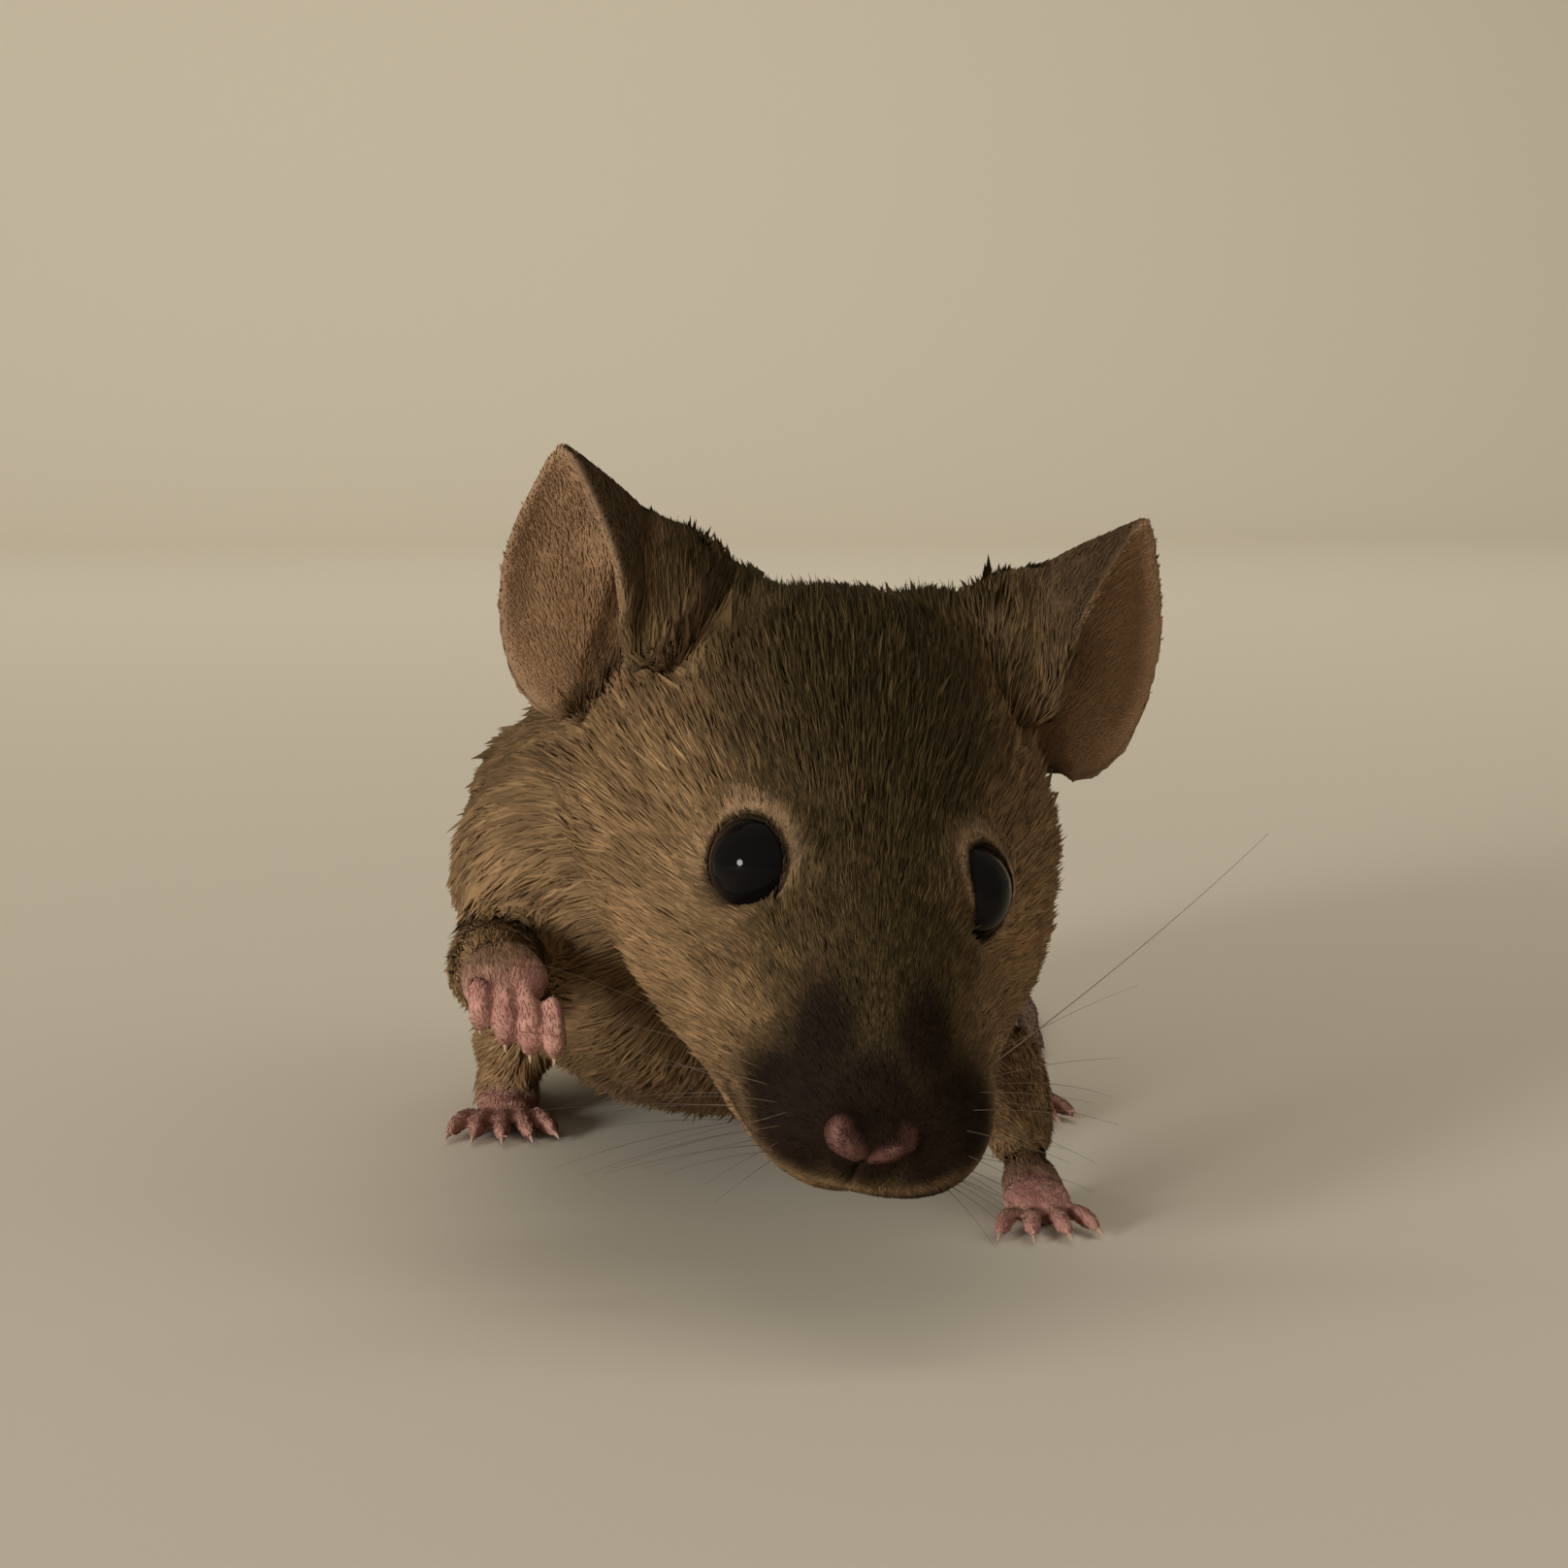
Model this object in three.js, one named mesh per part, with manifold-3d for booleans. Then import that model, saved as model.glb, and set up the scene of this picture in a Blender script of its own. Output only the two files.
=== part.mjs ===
// House mouse, subadult, crouched with its right forepaw lifted. Still life-size model.
// Units are millimetres, +Z is up, the mouse faces -Y and its left side is +X.
// Every solid reaches out to the tips of the coat. Touching solids keep a gap of GAP.

import * as THREE from 'three';
import { mergeVertices } from 'three/addons/utils/BufferGeometryUtils.js';
import Module from 'manifold-3d';

const wasm = await Module();
wasm.setup();

// ---------------------------------------------------------------- driving dimensions

const GAP = 0.32; // between neighbouring solids
const EYE_HEIGHT = 16; // midpoint between the eyes above the floor
const HEAD_PITCH = 25; // degrees, nose down
const HEAD_ROLL = 8; // degrees, towards the mouse's left
const EYEBALL_RADIUS = 1.95;
const EYE_OPENING = [4.72, -0.3, 0.04]; // centre of the left eye's opening, in the head's frame
const EYE_FACING = [0.74, -0.61, 0.28]; // where the left eye looks, in the head's frame
const EYE_OPENING_RADIUS = 1.8;
const EYE_MOUND = [1.5, 3.0, 2.8]; // half sizes of the swelling round the eye, its depth first
const EAR_THICKNESS = 0.75;
const EAR_FOLD_FACING = [0.2, -0.3, -1]; // out of the hollow under the middle of the fold
const EAR_TURN = { left: -6, right: 4 }; // degrees about the vertical, the left ear opens wider
const EAR_LEAN = { left: 7, right: 0 }; // degrees that the tip leans towards the crown
const EAR_WIDTH = { left: 1.08, right: 0.97 }; // of the leaf, each side of its fold
const BACK_HEIGHT = 26;
const BELLY_CLEARANCE = 0.9;
const CHEST_SHIFT = -2.2; // the chest leans to the mouse's right, under the lifted paw
const HIP_SHIFT = 1.0; // the hips swing back to its left
const NECK_END = 17; // where the neck meets the chest, along Y
const CHEST_END = 29; // where the chest meets the belly, along Y
const TAIL_ROOT_RADIUS = 1.9;
const TAIL_TIP_RADIUS = 0.55;
const TAIL_CUTS = [0.3, 0.64]; // fractions of the tail's length where its nodes part
const TAIL_PARTING = 0.005; // the gap between two lengths of the tail, as such a fraction
const DIGIT_RADIUS = 0.45;
const FIST_DIGIT_RADIUS = 0.5;
const HIND_DIGIT_RADIUS = 0.5;
const UP = new THREE.Vector3(0, 0, 1);
const SIDES = { left: 1, right: -1 };

// ---------------------------------------------------------------- materials

function material(color, roughness, metalness = 0) {
  return new THREE.MeshStandardMaterial({ color, roughness, metalness });
}

const FUR = material(0x6b5d48, 0.9);
const FUR_DARK = material(0x40372a, 0.9);
const FUR_PALE = material(0x8a7558, 0.9);
const EAR_SKIN = material(0x7d684f, 0.7);
const BARE_SKIN = material(0xc48f86, 0.55);
const TAIL_SKIN = material(0x8d7266, 0.6);
const EYE_GLOSS = material(0x060505, 0.08);

// ---------------------------------------------------------------- shape helpers

const vector = (point) => new THREE.Vector3(...point);

/** Drop all but the positions and merge the seam, so that the mesh is closed. */
function welded(geometry) {
  geometry.deleteAttribute('normal');
  geometry.deleteAttribute('uv');
  return mergeVertices(geometry, 1e-4);
}

/** The welded geometry moved outwards by a distance. */
function grown(geometry, distance) {
  const larger = geometry.clone();
  larger.computeVertexNormals();
  const { position, normal } = larger.attributes;
  for (let i = 0; i < position.count; i += 1) {
    const moved = new THREE.Vector3().fromBufferAttribute(position, i);
    moved.addScaledVector(new THREE.Vector3().fromBufferAttribute(normal, i), distance);
    position.setXYZ(i, moved.x, moved.y, moved.z);
  }
  larger.deleteAttribute('normal');
  return larger;
}

function toSolid(geometry) {
  return new wasm.Manifold(new wasm.Mesh({
    numProp: 3,
    vertProperties: new Float32Array(geometry.attributes.position.array),
    triVerts: new Uint32Array(geometry.index.array),
  }));
}

function toGeometry(solid) {
  const mesh = solid.getMesh();
  const geometry = new THREE.BufferGeometry();
  geometry.setAttribute('position', new THREE.BufferAttribute(mesh.vertProperties, 3));
  geometry.setIndex(new THREE.BufferAttribute(mesh.triVerts, 1));
  return geometry;
}

const joined = (geometries) => toGeometry(geometries.map(toSolid).reduce((a, b) => a.add(b)));

/** A geometry with the solids of others, each grown by the gap, cut away. */
function cutBy(geometry, others) {
  const cutters = others.map((other) => toSolid(grown(other, GAP)));
  return toGeometry(cutters.reduce((solid, cutter) => solid.subtract(cutter), toSolid(geometry)));
}

/** The part of a geometry inside an axis-aligned box. */
function within(geometry, low, high) {
  const size = vector(high).sub(vector(low));
  const box = welded(new THREE.BoxGeometry(size.x, size.y, size.z));
  box.translate(...vector(high).add(vector(low)).multiplyScalar(0.5).toArray());
  return toGeometry(toSolid(geometry).intersect(toSolid(box)));
}

const FAR = 200;
const between = (geometry, from, to) => within(geometry, [-FAR, from, -FAR], [FAR, to, FAR]);
const aboveFloor = (geometry) => within(geometry, [-FAR, -FAR, 0], [FAR, FAR, FAR]);

/** The same shape on the other side of the mouse. */
function mirrored(geometry) {
  const other = geometry.clone();
  other.scale(-1, 1, 1);
  const index = other.index;
  for (let i = 0; i < index.count; i += 3) {
    const first = index.getX(i);
    index.setX(i, index.getX(i + 2));
    index.setX(i + 2, first);
  }
  return other;
}

const forSide = (side, geometry) => (SIDES[side] > 0 ? geometry : mirrored(geometry));

/** An ellipse at power 2, squarer above it: one coordinate of a unit section. */
const rounded = (value, power) => Math.sign(value) * Math.abs(value) ** (2 / power);

/**
 * A closed solid with rounded ends, swept through stations of [place, wide, up, down]:
 * the section's centre, its half width and how far it reaches above and below the centre.
 * caps holds the share of the length that each round end takes, 0 for a flat end. power says how
 * square the section is, and taper the share of its width that it loses towards its top.
 */
function sweep(stations, options = {}) {
  const { sides = 12, rings = 10, caps = [0.2, 0.2], power = 2, taper = 0, facing = UP } = options;
  const flat = caps.map((cap) => (cap === 0 ? 1 : 0));
  const spine = new THREE.CatmullRomCurve3(stations.map(([place]) => vector(place)));
  const sizes = new THREE.CatmullRomCurve3(stations.map(([, ...size]) => vector(size)));
  const geometry = new THREE.SphereGeometry(1, sides, rings);
  const { position, uv } = geometry.attributes;
  for (let i = 0; i < position.count; i += 1) {
    const turn = uv.getX(i) * 2 * Math.PI;
    const ring = Math.round((1 - uv.getY(i)) * rings);
    const share = THREE.MathUtils.clamp((ring - flat[0]) / (rings - flat[0] - flat[1]), 0, 1);
    const along = THREE.MathUtils.lerp(share, 0.5 - 0.5 * Math.cos(Math.PI * share), 0.65);
    const toEnd = Math.min(flat[0] ? 1 : along / caps[0], flat[1] ? 1 : (1 - along) / caps[1], 1);
    const isPole = ring === 0 || ring === rings;
    const swell = isPole ? 0 : Math.sqrt(1 - (1 - toEnd) ** 2);
    const tangent = spine.getTangent(along);
    const across = facing.clone().cross(tangent).normalize();
    const upward = tangent.clone().cross(across);
    const size = sizes.getPoint(along).multiplyScalar(swell);
    const height = rounded(Math.sin(turn), power);
    const narrowing = 1 - taper * Math.max(0, height);
    const sideways = -rounded(Math.cos(turn), power) * size.x * narrowing;
    const place = spine.getPoint(along);
    place.addScaledVector(across, sideways);
    place.addScaledVector(upward, height * (height > 0 ? size.y : size.z));
    position.setXYZ(i, place.x, place.y, place.z);
  }
  return welded(geometry);
}

/** A sweep with round sections, through stations of [place, radius]. */
const limb = (stations, options) => sweep(stations.map(([place, r]) => [place, r, r, r]), options);

/** An ellipsoid with its half sizes, turned by degrees about X, Y and Z. */
function ellipsoid(centre, [a, b, c], { turn = [0, 0, 0], sides = 16, rings = 10 } = {}) {
  const shape = welded(new THREE.SphereGeometry(1, sides, rings));
  shape.scale(a, b, c);
  const angles = turn.map(THREE.MathUtils.degToRad);
  shape.applyMatrix4(new THREE.Matrix4().makeRotationFromEuler(new THREE.Euler(...angles)));
  shape.translate(...centre);
  return shape;
}

// ---------------------------------------------------------------- head, in its own frame
// The origin is midway between the eyes, -Y runs to the nose, +X is the mouse's left.

function skull() {
  const stations = [
    [[0.1, -10.3, -5.5], 2.4, 1.5, 1.6],
    [[0.4, -9.0, -5.5], 3.95, 2.7, 2.7],
    [[0.6, -7.2, -5.4], 4.85, 3.9, 3.1],
    [[0.5, -4.8, -5.0], 5.5, 5.0, 3.5],
    [[0.3, -2.2, -4.6], 6.8, 5.9, 3.9],
    [[0.3, 0.6, -4.2], 8.4, 7.0, 4.3],
    [[0.3, 3.4, -3.6], 9.5, 8.1, 4.7],
    [[0.3, 6.4, -2.8], 10.2, 9.1, 5.0],
    [[0.2, 9.4, -2.0], 10.5, 9.5, 5.0],
    [[0, 12.2, -1.4], 9.8, 8.9, 4.6],
    [[0, 14.8, -1.0], 8.2, 6.7, 3.8],
    [[0, 17.4, -0.8], 6.0, 4.2, 3.2],
  ];
  return sweep(stations, { sides: 22, rings: 17, caps: [0.08, 0.14], power: 2.3, taper: 0.34 });
}

/** A flat mound round each eye, so that its opening lies in the plane that the eye faces. */
function eyeMound() {
  const facing = vector(EYE_FACING).normalize();
  const centre = vector(EYE_OPENING).addScaledVector(facing, -EYE_MOUND[0]);
  const mound = ellipsoid([0, 0, 0], EYE_MOUND, { sides: 12, rings: 6 });
  mound.applyQuaternion(new THREE.Quaternion().setFromUnitVectors(new THREE.Vector3(1, 0, 0), facing));
  mound.translate(...centre.toArray());
  return mound;
}

/** The furry swelling that the ear grows from, which squares the crown. */
const earMound = () => ellipsoid([4.5, 12.2, 3.2], [3.9, 3.7, 3.6], { sides: 12, rings: 6 });

function headShape() {
  const mounds = [eyeMound(), earMound()];
  return joined([skull(), ...mounds, ...mounds.map(mirrored)]);
}

function lowerJaw() {
  const stations = [
    [[0, -8.3, -8.4], 1.6, 0.9, 0.8],
    [[0, -6.4, -8.5], 2.7, 1.2, 1.1],
    [[0, -3.2, -8.5], 4.0, 1.4, 1.3],
    [[0, 0.8, -8.3], 5.0, 1.6, 1.3],
    [[0, 4.6, -7.8], 4.8, 1.4, 1.2],
  ];
  return sweep(stations, { sides: 12, rings: 8, caps: [0.25, 0.3] });
}

function nosePad() {
  const lobe = { turn: [20, 0, 0], sides: 8, rings: 5 };
  const lobes = [-0.95, 0.55].map((x) => ellipsoid([x, -10.3, -4.5], [0.95, 0.85, 0.85], lobe));
  const middle = ellipsoid([-0.2, -10.0, -4.8], [1.1, 0.95, 1.15], lobe);
  return joined([...lobes, middle]);
}

function eyeball() {
  const facing = vector(EYE_FACING).normalize();
  const depth = Math.sqrt(EYEBALL_RADIUS ** 2 - EYE_OPENING_RADIUS ** 2);
  const centre = vector(EYE_OPENING).addScaledVector(facing, -depth);
  const size = [EYEBALL_RADIUS, EYEBALL_RADIUS, EYEBALL_RADIUS];
  return ellipsoid(centre.toArray(), size, { sides: 12, rings: 8 });
}

/**
 * The left ear: a thin leaf folded along a crease that runs from the crown to the pointed tip.
 * Its edge is a closed loop of [place, belly]. Spokes join the loop to the fold's middle, and
 * belly says how far a spoke bows backwards.
 */
function earLeaf(width, turn, lean) {
  const foldMiddle = vector([8.4, 12.6, 8.25]);
  const edge = [
    [[8.5, 8.1, 3.0], -0.3],
    [[9.8, 9.7, 7.1], -0.2],
    [[11.6, 12.0, 10.1], 0],
    [[12.4, 12.8, 10.95], 0],
    [[13.2, 13.3, 8.6], 0.4],
    [[13.8, 13.4, 5.0], 0.9],
    [[13.4, 12.6, 1.9], 1.2],
    [[12.4, 11.5, 0.1], 1.3],
    [[10.6, 10.6, -0.7], 1.2],
    [[8.2, 12.4, 0.4], 1.0],
    [[6.2, 13.6, 3.4], 0.6],
    [[4.4, 12.8, 6.5], 0],
    [[5.6, 9.8, 5.6], -0.2],
  ];
  const loop = new THREE.CatmullRomCurve3(edge.map(([place]) => vector(place)), true);
  const bellies = edge.map(([, belly]) => vector([0, belly, 0]));
  const bow = new THREE.CatmullRomCurve3(bellies, true, 'catmullrom', 0.5);
  const leafPoint = (around, out) => {
    const point = foldMiddle.clone().lerp(loop.getPoint(around), out);
    return point.addScaledVector(bow.getPoint(around), 4 * out * (1 - out));
  };
  const geometry = new THREE.SphereGeometry(1, 2 * edge.length, 8);
  const { position, uv } = geometry.attributes;
  const step = 0.01;
  for (let i = 0; i < position.count; i += 1) {
    const around = 1 - THREE.MathUtils.euclideanModulo(uv.getX(i), 1);
    const latitude = (1 - uv.getY(i)) * Math.PI;
    const out = Math.sin(latitude);
    const inner = Math.min(Math.max(out, 0.05), 1 - step);
    const point = leafPoint(around, out);
    const radial = leafPoint(around, inner + step).sub(leafPoint(around, inner));
    const next = leafPoint((around + step) % 1, inner);
    const tangent = next.sub(leafPoint(around, inner));
    const normal = out < 0.05 ? vector(EAR_FOLD_FACING) : tangent.cross(radial);
    const half = 0.5 * EAR_THICKNESS * Math.abs(Math.cos(latitude)) ** 0.35;
    point.addScaledVector(normal.normalize(), half * Math.sign(Math.cos(latitude)));
    position.setXYZ(i, point.x, point.y, point.z);
  }
  const leaf = welded(geometry);
  const root = vector([7, 11, 0]);
  const middle = vector([11.5, 0, 5]);
  leaf.translate(-foldMiddle.x, 0, 0);
  leaf.scale(width, 1, 1);
  leaf.translate(foldMiddle.x, 0, 0);
  leaf.translate(...middle.clone().negate());
  leaf.rotateY(THREE.MathUtils.degToRad(-lean));
  leaf.translate(...middle.sub(root));
  leaf.rotateZ(THREE.MathUtils.degToRad(turn));
  leaf.translate(...root);
  return leaf;
}

const headPose = new THREE.Matrix4().makeRotationFromEuler(new THREE.Euler(
  THREE.MathUtils.degToRad(HEAD_PITCH),
  THREE.MathUtils.degToRad(HEAD_ROLL),
  0,
  'ZXY',
)).setPosition(0, 0, EYE_HEIGHT);

const posed = (geometry) => geometry.clone().applyMatrix4(headPose);

// ---------------------------------------------------------------- neck, chest and belly

function torso() {
  const middle = EYE_HEIGHT - 2;
  const belly = BELLY_CLEARANCE;
  const at = (x, y, centre, wide, top, bottom) => [[x, y, centre], wide, top - centre, centre - bottom];
  const stations = [
    at(-0.6, 7, middle, 7.0, 20.0, 8.4),
    at(-1.0, 12, middle, 9.2, 23.8, 5.8),
    at(CHEST_SHIFT, 17, middle - 1, 10.6, 24.6, 3.9),
    at(CHEST_SHIFT * 0.8, 22.5, middle - 2, 11.4, BACK_HEIGHT - 0.8, 2.3),
    at(CHEST_SHIFT * 0.2, 29, middle - 3, 12.0, BACK_HEIGHT, belly + 0.4),
    at(HIP_SHIFT * 0.8, 35.5, middle - 4, 12.2, BACK_HEIGHT - 0.4, belly),
    at(HIP_SHIFT, 42, middle - 5, 11.6, BACK_HEIGHT - 4.2, belly),
    at(HIP_SHIFT, 47.5, middle - 6, 9.0, 17.0, belly + 0.5),
    at(HIP_SHIFT, 51.5, middle - 6.5, 6.0, 11.4, 3.2),
  ];
  return sweep(stations, { sides: 20, rings: 14, caps: [0.12, 0.1], power: 2.15 });
}

// ---------------------------------------------------------------- legs

/** Digits fanned from a knuckle line, each running out, bending down and ending in a claw. */
function digits({ count, knuckles, radius, length, spread, drop, lead }) {
  return Array.from({ length: count }, (_, i) => {
    const share = i / (count - 1);
    const root = vector(knuckles[0]).lerp(vector(knuckles[1]), share);
    const angle = THREE.MathUtils.degToRad(THREE.MathUtils.lerp(-spread, spread, share));
    const reach = length * (1 - 0.55 * Math.abs(share - 0.5) ** 1.5);
    const out = vector(lead).applyAxisAngle(UP, angle);
    const along = (far, low) => root.clone().addScaledVector(out, far).add(vector([0, 0, low])).toArray();
    return limb([
      [along(-radius, 0), radius],
      [along(0.35 * reach, 0.25 * radius), radius],
      [along(0.75 * reach, -0.3 * drop), 0.92 * radius],
      [along(reach, -drop), 0.4 * radius],
    ], { sides: 5, rings: 5, caps: [0.25, 0.35], facing: UP });
  });
}

/** The left forepaw planted on the floor. */
function plantedForepaw() {
  const palm = sweep([
    [[9.7, 12.6, 2.0], 1.1, 1.0, 1.0],
    [[9.6, 10.4, 1.1], 1.35, 0.9, 1.2],
    [[9.4, 8.0, 0.75], 1.65, 0.7, 0.9],
  ], { sides: 10, rings: 6, caps: [0.3, 0.3] });
  const fingers = digits({
    count: 4,
    knuckles: [[8.15, 8.5, 0.6], [10.7, 8.7, 0.6]],
    radius: DIGIT_RADIUS,
    length: 3.1,
    spread: 20,
    drop: 0.25,
    lead: [-0.06, -1, 0],
  });
  return aboveFloor(joined([palm, ...fingers]));
}

/** The right forepaw lifted beside the chin, its back to the front and its fingers curled down. */
function liftedForepaw() {
  const palm = sweep([
    [[-13.5, 6.4, 12.4], 1.25, 1.05, 1.05],
    [[-13.1, 4.9, 11.8], 1.75, 0.95, 0.95],
    [[-12.7, 4.1, 10.4], 1.7, 0.85, 0.85],
  ], { sides: 10, rings: 6, caps: [0.3, 0.3], facing: new THREE.Vector3(0, -0.7, 0.7) });
  const fingers = [0, 1, 2, 3].map((i) => {
    const root = vector([-14.15, 3.7, 11.7]).lerp(vector([-11.3, 3.7, 11.0]), i / 3);
    const reach = [1.75, 2.25, 2.45, 2.35][i];
    const at = (far, back) => root.clone().add(vector([0.05 * far, back, -far])).toArray();
    return limb([
      [at(-0.3, 0.4), FIST_DIGIT_RADIUS],
      [at(0.35 * reach, -0.45), FIST_DIGIT_RADIUS],
      [at(0.75 * reach, -0.3), FIST_DIGIT_RADIUS],
      [at(reach, 0.35), 0.7 * FIST_DIGIT_RADIUS],
    ], { sides: 6, rings: 5, caps: [0.25, 0.3], facing: new THREE.Vector3(0, -1, 0) });
  });
  return joined([palm, ...fingers]);
}

/** Stations of the upper and lower foreleg, from the shoulder to the elbow and to the wrist. */
const FORELEG = {
  left: {
    upper: [[[5.4, 18.5, 17.0], 4.2], [[7.2, 17.8, 12.0], 4.3], [[8.8, 19.2, 7.4], 2.8]],
    lower: [[[9.6, 20.2, 6.2], 2.3], [[9.9, 17.0, 4.2], 2.1], [[9.7, 12.2, 2.2], 1.3]],
  },
  right: {
    upper: [[[-8.0, 17.4, 18.6], 4.2], [[-10.2, 14.8, 14.8], 4.5], [[-11.2, 14.4, 10.8], 3.6]],
    lower: [[[-12.0, 15.4, 10.2], 2.4], [[-12.9, 11.6, 11.0], 2.2], [[-13.4, 6.6, 12.4], 1.4]],
  },
};

function thigh() {
  return sweep([
    [[8.0, 44.6, 15.0], 3.2, 4.4, 4.4],
    [[9.6, 39.6, 12.6], 4.0, 7.4, 7.2],
    [[10.3, 33.8, 9.4], 3.9, 6.6, 6.6],
    [[10.4, 28.6, 6.4], 2.7, 3.7, 3.7],
  ], { sides: 14, rings: 9, caps: [0.34, 0.34] });
}

function shank() {
  return limb([
    [[11.2, 31.6, 3.7], 1.9],
    [[11.4, 36.6, 3.3], 2.1],
    [[11.3, 41.6, 2.7], 1.6],
  ], { sides: 10, rings: 6, caps: [0.3, 0.3] });
}

function hindFoot() {
  const sole = sweep([
    [[11.0, 44.6, 1.3], 1.15, 1.2, 1.4],
    [[11.4, 40.6, 1.0], 1.25, 1.0, 1.2],
    [[11.8, 35.6, 0.9], 1.35, 0.8, 1.1],
    [[12.2, 31.2, 0.8], 1.75, 0.7, 1.0],
  ], { sides: 10, rings: 8, caps: [0.2, 0.2] });
  const toes = digits({
    count: 5,
    knuckles: [[10.8, 31.9, 0.6], [13.7, 32.3, 0.6]],
    radius: HIND_DIGIT_RADIUS,
    length: 4.6,
    spread: 17,
    drop: 0.2,
    lead: [0.08, -1, 0],
  });
  return aboveFloor(joined([sole, ...toes]));
}

// ---------------------------------------------------------------- tail

/** The tail leaves the rump, comes down to the floor and curls round the mouse's left. */
function tailSpine() {
  return new THREE.CatmullRomCurve3([
    [1.0, 46.5, 7.2], [1.2, 51.5, 4.2], [1.6, 57.5, 1.7], [3.6, 65.0, 1.1], [8.8, 70.6, 0.95],
    [15.2, 70.6, 0.85], [19.4, 65.4, 0.75], [20.2, 58.2, 0.68], [19.0, 51.2, 0.6], [18.0, 44.8, 0.5],
  ].map(vector));
}

/** One length of the tail, between two fractions of it, with an end flat where it was parted. */
function tailLength(from, to, rings) {
  const spine = tailSpine();
  const count = 7;
  const stations = Array.from({ length: count }, (_, i) => {
    const share = THREE.MathUtils.lerp(from, to, i / (count - 1));
    const radius = THREE.MathUtils.lerp(TAIL_ROOT_RADIUS, TAIL_TIP_RADIUS, share ** 0.75);
    return [spine.getPointAt(share).toArray(), radius];
  });
  const caps = [from > 0 ? 0 : 0.06, to < 1 ? 0 : 0.06];
  return aboveFloor(limb(stations, { sides: 8, rings, caps }));
}

// ---------------------------------------------------------------- assembly

const model = new THREE.Group();

function place(name, geometry, finish) {
  const mesh = new THREE.Mesh(geometry, finish);
  mesh.name = name;
  model.add(mesh);
}

const head = posed(headShape());
const jaw = posed(lowerJaw());
const nose = posed(nosePad());
const eyes = { left: posed(eyeball()), right: posed(mirrored(eyeball())) };
const ears = {
  left: posed(earLeaf(EAR_WIDTH.left, EAR_TURN.left, EAR_LEAN.left)),
  right: posed(mirrored(earLeaf(EAR_WIDTH.right, -EAR_TURN.right, EAR_LEAN.right))),
};
const facing = new THREE.Vector3(1, 0, 0);
const upperForeleg = ({ upper }) => limb(upper, { sides: 12, rings: 8, caps: [0.35, 0.3], facing });
const lowerForeleg = ({ lower }) => limb(lower, { sides: 10, rings: 7, caps: [0.3, 0.12], facing });
const upperForelegs = { left: upperForeleg(FORELEG.left), right: upperForeleg(FORELEG.right) };
const lowerForelegs = { left: lowerForeleg(FORELEG.left), right: lowerForeleg(FORELEG.right) };
const forepaws = { left: plantedForepaw(), right: liftedForepaw() };
const body = torso();
const tailRoot = tailLength(0, TAIL_CUTS[0], 12);

place('head', cutBy(head, [eyes.left, eyes.right, nose, jaw]), FUR);
place('lower_jaw', cutBy(jaw, [nose]), FUR_PALE);
place('nose', nose, BARE_SKIN);

const forelegs = [upperForelegs, lowerForelegs, forepaws].flatMap(Object.values);
const atHip = (side, geometry) => forSide(side, geometry).clone().translate(HIP_SHIFT, 0, 0);
const hindLegs = Object.keys(SIDES).map((side) => ({
  side,
  thigh: atHip(side, thigh()),
  shank: atHip(side, shank()),
  foot: atHip(side, hindFoot()),
}));
const hindParts = hindLegs.flatMap((leg) => [leg.thigh, leg.shank, leg.foot]);
const frontParts = [head, jaw, ...forelegs];
const neck = between(body, -FAR, NECK_END - GAP / 2);
const chest = between(body, NECK_END + GAP / 2, CHEST_END - GAP / 2);
const belly = between(body, CHEST_END + GAP / 2, FAR);
place('neck', cutBy(neck, frontParts), FUR_DARK);
place('chest', cutBy(chest, [...frontParts, ...hindParts]), FUR);
place('belly', cutBy(belly, [...hindParts, tailRoot]), FUR);

for (const side of Object.keys(SIDES)) {
  place(`eye_${side}`, eyes[side], EYE_GLOSS);
  place(`ear_${side}`, cutBy(ears[side], [head]), EAR_SKIN);
  const headCutters = [head, jaw];
  place(`foreleg_upper_${side}`, cutBy(upperForelegs[side], headCutters), FUR);
  const lower = cutBy(lowerForelegs[side], [upperForelegs[side], forepaws[side]]);
  place(`foreleg_lower_${side}`, lower, FUR_DARK);
  place(`forepaw_${side}`, forepaws[side], BARE_SKIN);
}

for (const leg of hindLegs) {
  place(`thigh_${leg.side}`, leg.thigh, FUR);
  place(`shank_${leg.side}`, cutBy(leg.shank, [leg.thigh]), FUR);
  place(`hind_foot_${leg.side}`, cutBy(leg.foot, [leg.thigh, leg.shank]), BARE_SKIN);
}

place('tail_base', tailRoot, TAIL_SKIN);
place('tail_middle', tailLength(TAIL_CUTS[0] + TAIL_PARTING, TAIL_CUTS[1], 15), TAIL_SKIN);
place('tail_tip', tailLength(TAIL_CUTS[1] + TAIL_PARTING, 1, 15), TAIL_SKIN);

// The origin goes to the bottom centre of the whole mouse.
const box = new THREE.Box3().setFromObject(model);
const centre = box.getCenter(new THREE.Vector3());
model.position.set(-centre.x, -centre.y, -box.min.z);

export default model;
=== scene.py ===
"""A young house mouse, crouched with its right forepaw lifted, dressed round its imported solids.

The row frame is in metres, the mouse faces -Y and its left side is +X. Shapes are worked out as
arrays in millimetres and turned into meshes at the end of each build. Head coordinates have their
origin midway between the eyes, -Y towards the nose and +X to the mouse's left.
"""

import logging
import math
from collections.abc import Callable, Sequence
from dataclasses import dataclass, field
from enum import Enum
from typing import Any

import bmesh
import bpy
import numpy as np
from mathutils import Matrix, Vector
from mathutils.kdtree import KDTree


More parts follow.
